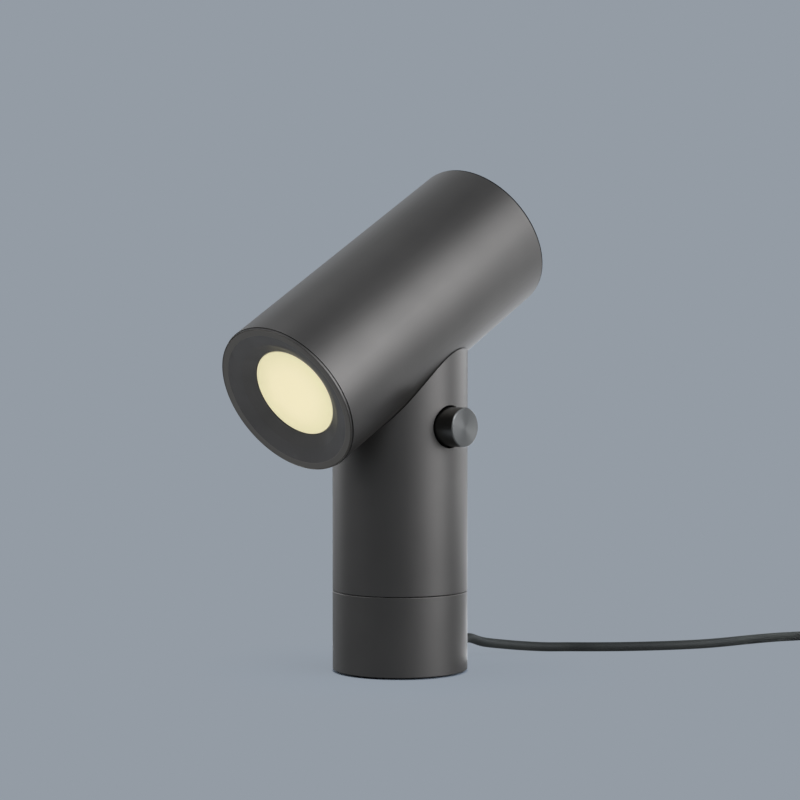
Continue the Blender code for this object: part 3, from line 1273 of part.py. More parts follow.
def make_inner_leads():
    """The mains lead up the spindle, the LED lead up into the head and the dimmer's lead."""
    anchor = (0, ANCHOR_PLACE, CORD_HEIGHT)
    spindle_end = (0, 0, NUT_BOTTOM - SPINDLE_TAIL)
    mains = [
        (0, BOOT_SEAT - BOOT_FLANGE - GAP, CORD_HEIGHT),
        anchor,
        *between(anchor, spindle_end, MAINS_SHARES),
        spindle_end,
        (0, 0, RING_TOP),
        (0, 0, TERMINAL_BOTTOM - GAP),
    ]
    tube("mains_lead", smooth_path(mains, CORD_DIAMETER), INNER_LEAD_RADIUS, "black plastic")
    face = BOARD_INNER - GAP
    start = (face, LED_LEAD_SIDE, BOARD_TOP - 2 * STANDOFF_INSET)
    hole_low = head_point(LEAD_HOLE_ACROSS, -HEAD_RADIUS - SADDLE_THICKNESS, SADDLE_MIDDLE)
    hole_high = (LEAD_HOLE_ACROSS, -HEAD_BORE + HEAD_WALL, SADDLE_MIDDLE)
    fins = (0, -WIRE_HOLE_PLACE, depth(FIN_BACK) + WIRE_HOLE_RADIUS)
    led = [
        start,
        *between(start, hole_low, LED_STEM_SHARES),
        hole_low,
        head_point(*hole_high),
        *(head_point(*place) for place in between(hole_high, fins, LED_HEAD_SHARES)),
        head_point(*fins),
        head_point(0, -WIRE_HOLE_PLACE, depth(SINK_BACK)),
        head_point(0, -WIRE_HOLE_PLACE, depth(SINK_FRONT)),
    ]
    tube("led_lead", smooth_path(led, CORD_DIAMETER), THIN_LEAD_RADIUS, "nylon", 1, stem_frame)
    start = (DIMMER_BACK - GAP, 0, KNOB_HEIGHT - DIMMER_RADIUS / 2)
    end = (face, 0, BOARD_TOP - STANDOFF_INSET)
    dimmer = [start, *between(start, end, DIMMER_LEAD_SHARES), end]
    tube("dimmer_lead", smooth_path(dimmer, CORD_DIAMETER), THIN_LEAD_RADIUS, "nylon", 1, stem_frame)


def coil_points():
    """The middle line of the coil and its tail.

    Each layer is a spiral at a steady rate, inwards and outwards by turns. The cord climbs a layer in
    the half turn where the spiral reverses. After the last layer it curls inwards over the coil.
    """
    points = []
    layer_turns = COIL_SPIRAL_TURNS + COIL_CLIMB_TURNS
    turns = COIL_LAYERS * layer_turns - COIL_CLIMB_TURNS
    inner = COIL_RADIUS - COIL_SPIRAL_TURNS * COIL_PITCH
    count = round(turns * COIL_POINTS_PER_TURN)
    for turn in np.arange(count + 1) / COIL_POINTS_PER_TURN:
        layer, part = divmod(turn, layer_turns)
        inward = min(part, COIL_SPIRAL_TURNS) * COIL_PITCH
        radius = COIL_RADIUS - inward if layer % 2 == 0 else inner + inward
        climb = max(0, part - COIL_SPIRAL_TURNS) / COIL_CLIMB_TURNS
        angle = COIL_ENTRY - 2 * pi * turn
        height = COIL_FLOOR + (layer + climb) * COIL_PITCH
        points.append((COIL_CENTRE[0] + radius * cos(angle), COIL_CENTRE[1] + radius * sin(angle), height))
    top = COIL_FLOOR + (COIL_LAYERS - 1) * COIL_PITCH
    plug_height = top + CORD_RADIUS + GAP + PLUG_HALF_HEIGHT
    out = Vector((cos(angle), sin(angle), 0))
    centre = Vector(points[-1]) - out * TAIL_RADIUS
    steps = ceil(TAIL_TURN / (2 * pi) * COIL_POINTS_PER_TURN)
    for step in range(1, steps + 1):
        turn = TAIL_TURN * step / steps
        place = centre + Matrix.Rotation(-turn, 3, "Z") @ out * TAIL_RADIUS
        place.z = top + (plug_height - top) * min(1, turn / TAIL_CLIMB_TURN)
        points.append(tuple(place))
    heading = Matrix.Rotation(-TAIL_TURN - pi / 2, 3, "Z") @ out
    end = Vector(points[-1]) + heading * CORD_DIAMETER
    entry = Vector(points[0])
    onward = Vector((sin(COIL_ENTRY), -cos(COIL_ENTRY), 0))
    start = entry - onward * CORD_DIAMETER
    return [tuple(start), *points, tuple(end)], start, onward, end, heading


def least_gap(points):
    """The least gap between the tube's stretches that are more than two diameters apart along it."""
    fine = np.concatenate([np.linspace(a, b, 5)[:-1] for a, b in zip(points, points[1:])])
    steps = np.linalg.norm(np.diff(fine, axis=0), axis=1)
    along = np.concatenate([[0], np.cumsum(steps)])
    least = np.inf
    for place, here in zip(fine, along):
        apart = np.abs(along - here) > 2 * CORD_DIAMETER
        least = min(least, np.linalg.norm(fine[apart] - place, axis=1).min())
    return least - CORD_DIAMETER


def make_cord():
    """The free stretch from the boot to the coil, the coil with its tail, and the tie round it."""
    points, start, onward, end, heading = coil_points()
    points = [np.array(point) for point in points]
    first = (0, BOOT_TIP + GAP, CORD_HEIGHT)
    second = (0, BOOT_TIP + GAP + CORD_DIAMETER, CORD_HEIGHT)
    joint = start - onward * GAP
    before = joint - onward * CORD_DIAMETER
    route = [first, second, *CORD_ROUTE, tuple(before), tuple(joint)]
    stretch = smooth_path(route, CORD_STEP)
    tube("cord", stretch, CORD_RADIUS, "cord")
    tube("cord_coil", points, CORD_RADIUS, "cord", 1)
    total = length_of(stretch) + length_of(points)
    print(f"cord {total:.3f} m, free stretch {length_of(stretch):.3f} m in {len(stretch)} points")
    print(f"least gap of the coil to itself {1000 * least_gap(points):.2f} mm")
    make_cord_tie()
    make_plug(end + heading * GAP, heading)


def make_cord_tie():
    """A flat band round all the turns at one side of the coil."""
    inner = COIL_RADIUS - COIL_SPIRAL_TURNS * COIL_PITCH
    margin = CORD_RADIUS + 3 * GAP
    width = COIL_RADIUS - inner + 2 * margin
    top = COIL_FLOOR + (COIL_LAYERS - 1) * COIL_PITCH + CORD_RADIUS + 2 * GAP
    height = top - TIE_THICKNESS
    hole = rounded_box(width, height, CORD_RADIUS)
    rim = rounded_box(width + 2 * TIE_THICKNESS, height + 2 * TIE_THICKNESS, CORD_RADIUS + TIE_THICKNESS)
    band = flat("cord_tie", [rim, hole], TIE_WIDTH)
    band.transform(Matrix.Rotation(pi / 2, 4, "X"))
    band.transform(Matrix.Translation(((COIL_RADIUS + inner) / 2, 0, TIE_THICKNESS + height / 2)))
    band.transform(Matrix.Rotation(radians(TIE_ANGLE), 4, "Z"))
    band.transform(Matrix.Translation((*COIL_CENTRE, 0)))
    add("cord_tie", band, "black plastic")


def make_plug(place, heading):
    """A plug body lofted between rounded sections from the cord to its face, with two pins in it."""
    count = PLUG_SECTION_POINTS
    power = 2 / PLUG_SQUARENESS
    rings = []
    for along, wide, tall in PLUG_SECTION_SHARES:
        for k in range(count):
            c, s = cos(2 * pi * k / count), sin(2 * pi * k / count)
            x = np.sign(c) * abs(c) ** power * wide * PLUG_HALF_WIDTH
            y = np.sign(s) * abs(s) ** power * tall * PLUG_HALF_HEIGHT
            rings.append((x, y, along * PLUG_LENGTH))
    faces = [tuple(range(count))[::-1]]
    for row in range(len(PLUG_SECTION_SHARES) - 1):
        for k in range(count):
            a, b = row * count + k, row * count + (k + 1) % count
            faces.append((a, b, b + count, a + count))
    last = (len(PLUG_SECTION_SHARES) - 1) * count
    faces.append(tuple(range(last, last + count)))
    mesh = bpy.data.meshes.new("plug_body")
    mesh.from_pydata(rings, [], faces)
    turn = Matrix((Vector((0, 0, 1)).cross(heading), Vector((0, 0, 1)), heading)).transposed()
    plug_frame = new_frame("plug_frame", place, turn.to_euler())
    body = add("plug_body", mesh, "black plastic", plug_frame)
    low = PLUG_LENGTH - PLUG_PIN_BITE
    tip = PLUG_LENGTH + PLUG_PIN_LENGTH
    point = PLUG_PIN_RADIUS / 2
    profile = [
        (0, tip),
        (PLUG_PIN_RADIUS - point, tip),
        (PLUG_PIN_RADIUS, tip - point),
        (PLUG_PIN_RADIUS, low + GAP),
        (0, low + GAP),
    ]
    for side, name in ((-1, "plug_pin_left"), (1, "plug_pin_right")):
        x = side * PLUG_PIN_SPREAD
        hole = disc("hole", PLUG_PIN_RADIUS + GAP, low, PLUG_LENGTH + OVERRUN, SMALL_TURN)
        boolean(body, add_cutter(f"{name}_hole", moved(hole, (x, 0, 0)), plug_frame))
        add(name, moved(turned(name, profile, SMALL_TURN), (x, 0, 0)), "zinc plated", plug_frame)


clear_scene()
lamp = new_collection("table_lamp")
cutters = new_collection("cutters")
cutters.hide_render = True
stem_frame = new_frame("stem_frame", (0, 0, 0))
head_frame = new_frame("head_frame", (0, 0, HEAD_HEIGHT), (pi / 2 + HEAD_DIP, 0, 0), stem_frame)
knob_frame = new_frame("knob_frame", (0, 0, KNOB_HEIGHT), (0, pi / 2, 0), stem_frame)
dimmer_frame = new_frame("dimmer_frame", (0, 0, KNOB_HEIGHT), (0, pi / 2, 0), stem_frame)
cord_frame = new_frame("cord_frame", (0, 0, CORD_HEIGHT), (-pi / 2, 0, 0))
make_base_sleeve()
make_foot_pad()
make_bottom_plate()
make_base_screws()
make_counterweight()
make_top_plate()
make_swivel()
make_stem_ring()
make_stem_tube()
make_saddle_bracket()
make_head_screws()
make_tie_screws()
make_chassis()
make_chassis_screws()
make_driver()
make_dimmer()
make_knob()
make_head_tube()
make_head_cap()
make_cap_stud()
make_baffle()
make_diffuser()
make_reflector_cup()
make_led()
make_heat_sink()
make_sink_screws()
make_strain_relief()
make_inner_leads()
make_cord()
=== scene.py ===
"""A table lamp of black anodised tubes: a tilted head in the notched top of a stem that swivels on its base.

Metres, +Z up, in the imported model's frame. The head looks towards -Y and down.
"""

from math import atan2, cos, pi, radians, sin

import bmesh
import bpy
import numpy as np
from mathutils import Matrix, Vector


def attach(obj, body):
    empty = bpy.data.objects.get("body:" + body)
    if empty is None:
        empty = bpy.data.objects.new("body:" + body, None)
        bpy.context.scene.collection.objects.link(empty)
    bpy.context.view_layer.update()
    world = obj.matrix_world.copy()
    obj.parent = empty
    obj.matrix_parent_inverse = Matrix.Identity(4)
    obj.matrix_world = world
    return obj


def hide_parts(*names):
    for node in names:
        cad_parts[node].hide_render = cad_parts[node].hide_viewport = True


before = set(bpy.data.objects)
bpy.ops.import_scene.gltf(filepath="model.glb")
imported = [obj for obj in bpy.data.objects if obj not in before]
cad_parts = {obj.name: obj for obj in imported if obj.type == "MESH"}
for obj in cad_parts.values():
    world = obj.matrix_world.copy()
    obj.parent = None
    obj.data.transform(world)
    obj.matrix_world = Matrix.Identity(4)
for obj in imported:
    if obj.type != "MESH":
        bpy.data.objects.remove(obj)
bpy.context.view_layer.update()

scene = bpy.context.scene

# Camera: a long lens at the lamp's front right, a little above its middle and looking slightly down,
# with the lamp's axis in the middle of the picture.
CAMERA_PLACE = (1.0049, -1.0852, 0.2212)
CAMERA_LENS = 120.2
CAMERA_DIP = radians(2.734)

camera = bpy.data.objects.new("camera", bpy.data.cameras.new("camera"))
camera.data.lens = CAMERA_LENS
camera.data.sensor_width = 36
camera.location = CAMERA_PLACE
camera.rotation_euler = (pi / 2 - CAMERA_DIP, 0, atan2(-CAMERA_PLACE[1], -CAMERA_PLACE[0]) - pi / 2)
scene.collection.objects.link(camera)
scene.camera = camera
scene.view_settings.view_transform = "Standard"

# Mains cord: 1.75 m of round two-core lead in a matt black moulded sheath. It drops from the strain relief
# to the table, runs off to the right in one loose bend, and what is left lies in a tied coil.
CORD_RADIUS = 0.0027
CORD_DIAMETER = 2 * CORD_RADIUS
CORD_SIDES = 20
CORD_HEIGHT = 0.012
CORD_EXIT = (0, 0.0538, CORD_HEIGHT)
CORD_ROUTE = (
    (0.0002, 0.0704, 0.0086),
    (0.0029, 0.0852, 0.0060),
    (0.0075, 0.0980, 0.0042),
    (0.0145, 0.1095, 0.0031),
    (0.0226, 0.1200, 0.0028),
    (0.0337, 0.1300, 0.0028),
    (0.0460, 0.1427, 0.0028),
    (0.0570, 0.1565, 0.0028),
    (0.0660, 0.1700, 0.0028),
    (0.0735, 0.1845, 0.0028),
    (0.0785, 0.2005, 0.0028),
    (0.0825, 0.2180, 0.0028),
    (0.0880, 0.2360, 0.0028),
    (0.0955, 0.2500, 0.0029),
    (0.1037, 0.2612, 0.0034),
)
COIL_CENTRE = np.array((0.1477, 0.2541))
COIL_ENTRY = radians(132.8)
COIL_OUTER = 0.0354
COIL_INNER = 0.0255
COIL_PITCH = 0.0066
COIL_LAYERS = 4
COIL_LAYER_TURNS = 1.5
COIL_CLIMB_TURNS = 0.5
COIL_POINTS_PER_TURN = 24
COIL_FLOOR = 0.004
COIL_TOP = COIL_FLOOR + (COIL_LAYERS - 1) * COIL_PITCH
TAIL_RADIUS = 0.024
TAIL_TURN = radians(135)
TAIL_CLIMB = radians(95)
TAIL_POINTS = 9
PLUG_HEIGHT = 0.0336
CORD_IN_BOOT = 0.003
CORD_IN_PLUG = 0.002
PLUG_GAP = 0.0003


def joined(points, steps):
    """A curve through every point (Catmull-Rom), with so many steps between neighbours."""
    ends = np.vstack([2 * points[0] - points[1], points, 2 * points[-1] - points[-2]])
    a, b, c, d = (ends[i : i + len(points) - 1, None] for i in range(4))
    t = (np.arange(steps) / steps)[None, :, None]
    bend = 2 * b + (c - a) * t + (2 * a - 5 * b + 4 * c - d) * t**2 + (3 * b - a - 3 * c + d) * t**3
    return np.vstack([bend.reshape(-1, points.shape[1]) / 2, points[-1]])


def polar(centre, radius, angle, height):
    """Points at a radius and angle round a centre, at their heights."""
    x, y = centre[0] + radius * np.cos(angle), centre[1] + radius * np.sin(angle)
    return np.stack(np.broadcast_arrays(x, y, height), axis=-1)


def coil_line():
    """Four layers of 1.5 turns, spirals that run inwards and outwards by turns, then a tail curled on top.

    Within a layer the radius changes steadily. In the half turn between two layers it stays, and the
    height rises by one pitch. The tail is an arc that touches the last turn and climbs to the plug.
    """
    layer_turns = COIL_LAYER_TURNS + COIL_CLIMB_TURNS
    points = round((COIL_LAYERS * layer_turns - COIL_CLIMB_TURNS) * COIL_POINTS_PER_TURN)
    turn = np.arange(points + 1) / COIL_POINTS_PER_TURN
    layer, part = np.divmod(turn, layer_turns)
    inward = np.minimum(part, COIL_LAYER_TURNS) * COIL_PITCH
    radius = np.where(layer % 2 == 0, COIL_OUTER - inward, COIL_INNER + inward)
    climb = np.maximum(0, part - COIL_LAYER_TURNS) / COIL_CLIMB_TURNS
    angle = COIL_ENTRY - 2 * pi * turn
    turns = polar(COIL_CENTRE, radius, angle, COIL_FLOOR + (layer + climb) * COIL_PITCH)
    out = angle[-1]
    centre = turns[-1, :2] - TAIL_RADIUS * np.array((cos(out), sin(out)))
    swung = TAIL_TURN * np.arange(1, TAIL_POINTS + 1) / TAIL_POINTS
    rise = COIL_TOP + (PLUG_HEIGHT - COIL_TOP) * np.minimum(1, swung / TAIL_CLIMB)
    return np.vstack([turns, polar(centre, TAIL_RADIUS, out - swung, rise)]), out - TAIL_TURN - pi / 2


def swept(path, rims):
    """A section carried along a path that stays near level: a grid of path points by section points.

    At each path point the section's first number runs sideways, level and square to the path, and its
    second runs upwards, square to both. A row drawn in to the path's own point closes each end. rims holds
    one section for all points, or one for each.
    """
    along = np.gradient(path, axis=0)
    along /= np.linalg.norm(along, axis=1, keepdims=True)
    side = np.cross(along, (0, 0, 1))
    side /= np.linalg.norm(side, axis=1, keepdims=True)
    up = np.cross(side, along)
    rims = np.broadcast_to(rims, (len(path), *np.shape(rims)[-2:]))
    rows = path[:, None] + rims[..., :1] * side[:, None] + rims[..., 1:] * up[:, None]
    start, end = (np.broadcast_to(point, rows[:1].shape) for point in (path[0], path[-1]))
    return np.concatenate([start, rows, end])


def circle(radius, count, start=0):
    """count points round a circle, anticlockwise."""
    angle = start + 2 * pi * np.arange(count) / count
    return radius * np.stack([np.cos(angle), np.sin(angle)], axis=-1)


def grid_faces(rows, columns, loop_rows=False):
    """The quads of a grid of rows by columns. Each row is closed on itself, and the rows too if asked."""
    row = np.arange(rows if loop_rows else rows - 1)[:, None]
    low, high = row * columns, (row + 1) % rows * columns
    column = np.arange(columns)[None, :]
    beside = (column + 1) % columns
    return np.stack([low + column, low + beside, high + beside, high + column], axis=-1).reshape(-1, 4)


def piece(name, parts, finish, sharp=30):
    """A closed mesh object, with doubles merged and faces outwards.

    Each part is a grid whose rows are closed, or a tuple of points and quads. Edges sharper than so many
    degrees stay sharp, and the rest is shaded smooth.
    """
    mesh = bpy.data.meshes.new(name)
    points, quads, start = [], [], 0
    for part in parts:
        grid, faces = part if isinstance(part, tuple) else (part, grid_faces(*part.shape[:2]))
        points.append(grid.reshape(-1, 3))
        quads.append(faces + start)
        start += len(points[-1])
    mesh.from_pydata(np.vstack(points), [], np.vstack(quads))
    shape = bmesh.new()
    shape.from_mesh(mesh)
    bmesh.ops.remove_doubles(shape, verts=shape.verts, dist=1e-6)
    bmesh.ops.recalc_face_normals(shape, faces=shape.faces)
    shape.to_mesh(mesh)
    shape.free()
    mesh.shade_smooth()
    mesh.set_sharp_from_angle(angle=radians(sharp))
    for material in np.atleast_1d(finish):
        mesh.materials.append(material)
    obj = bpy.data.objects.new(name, mesh)
    scene.collection.objects.link(obj)
    return obj


def linear(code):
    """An sRGB hex colour as linear red, green, blue and alpha."""
    value = np.array([int(code[i : i + 2], 16) for i in (1, 3, 5)]) / 255
    return (*np.where(value > 0.04045, ((value + 0.055) / 1.055) ** 2.4, value / 12.92), 1)


def node(tree, kind, inputs, **settings):
    """Adds a shader node, or takes one that is there, and gives it its settings, values and links.

    An input is a value, an output to link, or a node, which is linked by its first output.
    """
    made = tree.nodes.new("ShaderNode" + kind) if isinstance(kind, str) else kind
    for key, value in settings.items():
        setattr(made, key, value)
    for key, value in inputs.items():
        if isinstance(value, bpy.types.Node):
            value = value.outputs[0]
        if isinstance(value, bpy.types.NodeSocket):
            tree.links.new(value, made.inputs[key])
        else:
            made.inputs[key].default_value = value
    return made


def new_finish(name):
    """A new material, its node tree, its Principled shader and the place on the object."""
    material = bpy.data.materials.new(name)
    material.use_nodes = True
    tree = material.node_tree
    return material, tree, tree.nodes["Principled BSDF"], node(tree, "TexCoord", {}).outputs["Object"]


def moulded(name, light, dark, rough, grain, depth, specular=0.5):
    """Moulded or extruded plastic and rubber: a fine matt texture from the tool, so the gloss is broken up
    into a soft sheen, and slightly uneven colour. grain is the texture's size in metres and depth its
    height.
    """
    material, tree, shader, spot = new_finish(name)
    pits = node(tree, "TexNoise", {"Vector": spot, "Scale": 1 / grain, "Detail": 3})
    cloud = node(tree, "TexNoise", {"Vector": spot, "Scale": 60, "Detail": 2})
    patch = node(tree, "MapRange", {0: cloud, 1: 0.35, 2: 0.65})
    tone = node(tree, "Mix", {0: patch, 6: linear(dark), 7: linear(light)}, data_type="RGBA")
    gloss = node(tree, "MapRange", {0: pits, 1: 0.3, 2: 0.7, 3: rough - 0.06, 4: rough + 0.06})
    bump = node(tree, "Bump", {"Strength": 0.5, "Distance": depth, "Height": pits})
    surface = {"Base Color": tone.outputs[2], "Roughness": gloss, "Normal": bump}
    node(tree, shader, {**surface, "Specular IOR Level": specular})
    return material


# PVC, extruded: matt, an even black with a trace of green where it is lit
cord_sheath = moulded("extruded_pvc_sheath", "#272824", "#20211e", 0.62, 0.0004, 0.00002, specular=0.25)

coil, heading = coil_line()
ahead = np.array((cos(heading), sin(heading), 0))
entry = np.array((sin(COIL_ENTRY), -cos(COIL_ENTRY), 0))
exit_place = np.array(CORD_EXIT)
plug_place = coil[-1] + ahead * (CORD_DIAMETER + PLUG_GAP)
stretch = [
    exit_place,
    exit_place + (0, CORD_DIAMETER, 0),
    *CORD_ROUTE,
    coil[0] - entry * 2 * CORD_DIAMETER,
    coil[0] - entry * CORD_DIAMETER,
]
cord_path = np.vstack([
    exit_place - (0, CORD_IN_BOOT, 0),
    joined(np.array(stretch), 6),
    joined(np.vstack([coil, plug_place + ahead * CORD_IN_PLUG]), 3),
])
cord = piece("mains_cord", [swept(cord_path, circle(CORD_RADIUS, CORD_SIDES))], cord_sheath)
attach(cord, "base")
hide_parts("cord", "cord_coil")

# Plug: a flat moulded body with a grooved neck that bends with the cord, and two round pins whose inner
# halves wear a black sleeve. The table holds how far along, how wide and how tall the body is, as shares.
PLUG_LENGTH = 0.036
PLUG_HALF_WIDTH = 0.0175
PLUG_HALF_HEIGHT = 0.00675
PLUG_SECTIONS = (
    (0, 0.21, 0.54),
    (0.10, 0.30, 0.66),
    (0.28, 0.40, 0.80),
    (0.52, 0.66, 1),
    (0.72, 0.92, 1),
    (0.97, 1, 1),
    (1, 0.96, 0.92),
)
PLUG_SIDES = 64
PLUG_SQUARENESS = 3
PLUG_NECK = 0.016
PLUG_NECK_SQUARENESS = 2.2
PLUG_NECK_ROUND = 0.014
PLUG_GROOVE = 0.10
PLUG_GROOVE_PITCH = 0.0026
PLUG_GROOVE_FADE = 0.002, 0.004
PIN_RADIUS = 0.002
PIN_SIDES = 32
PIN_TIP = 0.6, 0.8
PIN_REACH = 0.019
PIN_SPREAD = 0.0093
PIN_SLEEVE = 0.010
PIN_SLEEVE_STEP = 0.00012
PIN_ROOT = 0.0035


def turned(section, count=96):
    """A section of (radius, height) points turned about Z: a grid of section points by angles."""
    section = np.asarray(section, float)
    angle = 2 * pi * np.arange(count) / count
    x, y = section[:, :1] * np.cos(angle), section[:, :1] * np.sin(angle)
    return np.stack([x, y, np.broadcast_to(section[:, 1:2], x.shape)], axis=-1)


def eased(corners, ease, steps=3):
    """A section whose corners are rounded: each bend starts and ends ease before and after its corner.

    Between those it follows the quadratic curve drawn towards the corner. One more point on each side
    keeps the straight stretches straight when they are shaded smooth. The first and last corners stay.
    """
    corners = np.array(corners, float)
    to_last, to_next = np.zeros_like(corners), np.zeros_like(corners)
    steps_along = np.diff(corners, axis=0)
    steps_along /= np.linalg.norm(steps_along, axis=1, keepdims=True)
    to_last[1:-1], to_next[1:-1] = -steps_along[:-1] * ease, steps_along[1:] * ease
    t = np.linspace(0, 1, steps + 1)[None, :, None]
    bend = (1 - t) ** 2 * to_last[:, None] + t**2 * to_next[:, None]
    bend = np.concatenate([1.7 * to_last[:, None], bend, 1.7 * to_next[:, None]], axis=1)
    return (corners[:, None] + bend).reshape(-1, 2)


def placed(grid, origin, x, y, z):
    """The grid moved from its own axes to x, y and z at the origin."""
    return np.asarray(origin) + grid[..., :1] * x + grid[..., 1:2] * y + grid[..., 2:] * z


UP = np.array((0, 0, 1.0))
plug_axes = np.cross(UP, ahead), UP, ahead
plug_black = moulded("moulded_pvc_plug", "#2b2b2c", "#232324", 0.55, 0.0005, 0.00002, specular=0.25)
plug_rows = joined(np.array(PLUG_SECTIONS), 8)
along = plug_rows[:, :1] * PLUG_LENGTH

# each section is a superellipse, x and y being the cosine and sine to a power, and the grooves shrink it
fade_in, fade_out = PLUG_GROOVE_FADE
neck = np.clip((PLUG_NECK - along) / fade_out, 0, 1) * np.clip(along / fade_in, 0, 1)
grooves = 1 - PLUG_GROOVE * neck * (0.5 - 0.5 * np.cos(2 * pi * along / PLUG_GROOVE_PITCH))
squared = np.clip(along / PLUG_NECK_ROUND, 0, 1)
power = 2 / (PLUG_NECK_SQUARENESS + (PLUG_SQUARENESS - PLUG_NECK_SQUARENESS) * squared)
angle = 2 * pi * np.arange(PLUG_SIDES)[None, :] / PLUG_SIDES
wide, tall = (np.sign(part) * np.abs(part) ** power for part in (np.cos(angle), np.sin(angle)))
wide = wide * plug_rows[:, 1:2] * PLUG_HALF_WIDTH * grooves
tall = tall * plug_rows[:, 2:] * PLUG_HALF_HEIGHT * grooves
body = np.stack([wide, tall, np.broadcast_to(along, wide.shape)], axis=-1)
body = np.concatenate([body[:1] * (0, 0, 1), body, body[-1:] * (0.5, 0.5, 1), body[-1:] * (0, 0, 1)])
plug = piece("mains_plug", [placed(body, plug_place, *plug_axes)], plug_black, 40)
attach(plug, "base")
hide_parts("plug_body")

# nickel-plated brass, turned: bright and slightly warm, with faint lathe rings round each pin
pin_nickel, tree, shader, spot = new_finish("nickel_plated_brass")
turn = node(tree, "Mapping", {"Vector": spot, "Rotation": (0, 0, -heading)})
stretched = node(tree, "Mapping", {"Vector": turn, "Scale": (2500, 60, 60)})
rings = node(tree, "TexNoise", {"Vector": stretched, "Scale": 1, "Detail": 2})
gloss = node(tree, "MapRange", {0: rings, 1: 0.3, 2: 0.7, 3: 0.2, 4: 0.34})
bump = node(tree, "Bump", {"Strength": 0.3, "Distance": 0.00001, "Height": rings})
surface = {"Base Color": linear("#c9c5bc"), "Metallic": 1, "Roughness": gloss}
node(tree, shader, {**surface, "Normal": bump})


def face_middles(made):
    """The middle of each face of a piece."""
    middles = np.zeros(3 * len(made.data.polygons))
    made.data.polygons.foreach_get("center", middles)
    return middles.reshape(-1, 3)


pin_end, sleeve_end = PLUG_LENGTH + PIN_REACH, PLUG_LENGTH + PIN_SLEEVE
section = eased(
    (
        (0, pin_end),
        (PIN_RADIUS * PIN_TIP[0], pin_end),
        (PIN_RADIUS, pin_end - PIN_RADIUS * PIN_TIP[1]),
        (PIN_RADIUS, sleeve_end),
        (PIN_RADIUS - PIN_SLEEVE_STEP, sleeve_end),
        (PIN_RADIUS - PIN_SLEEVE_STEP, PLUG_LENGTH - PIN_ROOT),
        (0, PLUG_LENGTH - PIN_ROOT),
    ),
    0.00004,
)
for side, name in ((-1, "left"), (1, "right")):
    grid = placed(turned(section, PIN_SIDES) + (side * PIN_SPREAD, 0, 0), plug_place, *plug_axes)
    pin = piece(f"pin_{name}", [grid], [pin_nickel, plug_black])
    beyond = (face_middles(pin) - plug_place) @ ahead
    sleeved = beyond < sleeve_end - 0.0001
    pin.data.polygons.foreach_set("material_index", sleeved.astype(int))
    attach(pin, "base")
    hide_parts(f"plug_pin_{name}")

# Cord tie: a strap of hook-and-loop tape, 8 mm wide and 1 mm thick, closed round all the turns at the
# coil's outer side.
TIE_WIDTH = 0.008
TIE_THICKNESS = 0.001
TIE_EDGE = 0.0003
TIE_ROOM_BESIDE = 0.0009
TIE_ROOM_ABOVE = 0.0006
TIE_INNER_WIDTH = COIL_OUTER - COIL_INNER + 2 * (CORD_RADIUS + TIE_ROOM_BESIDE)
TIE_INNER_HEIGHT = COIL_TOP + CORD_RADIUS + TIE_ROOM_ABOVE - TIE_THICKNESS


def rounded_loop(width, height, corner, steps):
    """A rectangle's outline with round corners: its points, and the outward direction at each."""
    turn = np.linspace(0, pi / 2, steps)[None, :] + pi / 2 * np.arange(4)[:, None]
    out = np.stack([np.cos(turn), np.sin(turn)], axis=-1)
    corners = np.array(((1, 1), (-1, 1), (-1, -1), (1, -1)))[:, None]
    middle = corners * (width / 2 - corner, height / 2 - corner)
    return (middle + corner * out).reshape(-1, 2), out.reshape(-1, 2)


# polyester hook-and-loop tape: matt, fuzzy, with the rows of loops just visible
tie_tape, tree, shader, spot = new_finish("woven_hook_and_loop_tape")
loops = node(tree, "TexVoronoi", {"Vector": spot, "Scale": 1600})
fuzz = node(tree, "TexNoise", {"Vector": spot, "Scale": 900, "Detail": 4})
shade = node(tree, "MapRange", {0: fuzz, 1: 0.3, 2: 0.7})
tone = node(tree, "Mix", {0: shade, 6: linear("#1c1c1d"), 7: linear("#333335")}, data_type="RGBA")
bump = node(tree, "Bump", {"Strength": 0.8, "Distance": 0.0001, "Height": loops})
surface = {"Base Color": tone.outputs[2], "Roughness": 0.9, "Sheen Weight": 0.3}
node(tree, shader, {**surface, "Normal": bump})

loop, out = rounded_loop(
    TIE_INNER_WIDTH + TIE_THICKNESS, TIE_INNER_HEIGHT + TIE_THICKNESS, CORD_RADIUS + TIE_THICKNESS / 2, 8
)
strap, _ = rounded_loop(TIE_THICKNESS, TIE_WIDTH, TIE_EDGE, 4)
coil_middle = COIL_CENTRE[0] + (COIL_OUTER + COIL_INNER) / 2
centre = (coil_middle, COIL_CENTRE[1], TIE_THICKNESS + TIE_INNER_HEIGHT / 2)
flat_loop = np.insert(loop, 1, 0, axis=1) + centre
grid = flat_loop[:, None] + np.insert(out, 1, 0, axis=1)[:, None] * strap[:, :1] + (0, 1, 0) * strap[:, 1:]
tie = piece("tie_strap", [(grid, grid_faces(*grid.shape[:2], loop_rows=True))], tie_tape, 50)
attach(tie, "base")
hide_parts("cord_tie")

# Strain relief: a tapered black rubber boot moulded on the cord. Its flange sits inside the base sleeve, its
# neck fills the hole, and shallow grooves let the taper bend.
BOOT_ROOT = 0.0322
BOOT_FLANGE_RADIUS = 0.0062
BOOT_FLANGE = 0.002
BOOT_NECK_RADIUS = 0.005
BOOT_TAPER = (0.0396, 0.0531)
BOOT_TIP = 0.0535
BOOT_TIP_RADIUS = 0.0036
BOOT_GROOVES = np.array((0.0418, 0.0442, 0.0466, 0.0490, 0.0513))
BOOT_GROOVE = 0.0004
BOOT_GROOVE_WIDTH = 0.0004
BOOT_BORE = CORD_RADIUS - 0.0002
BOOT_BORE_FLOOR = BOOT_TIP - 0.0006
BOOT_SIDES = 48
BOOT_ROWS = 70

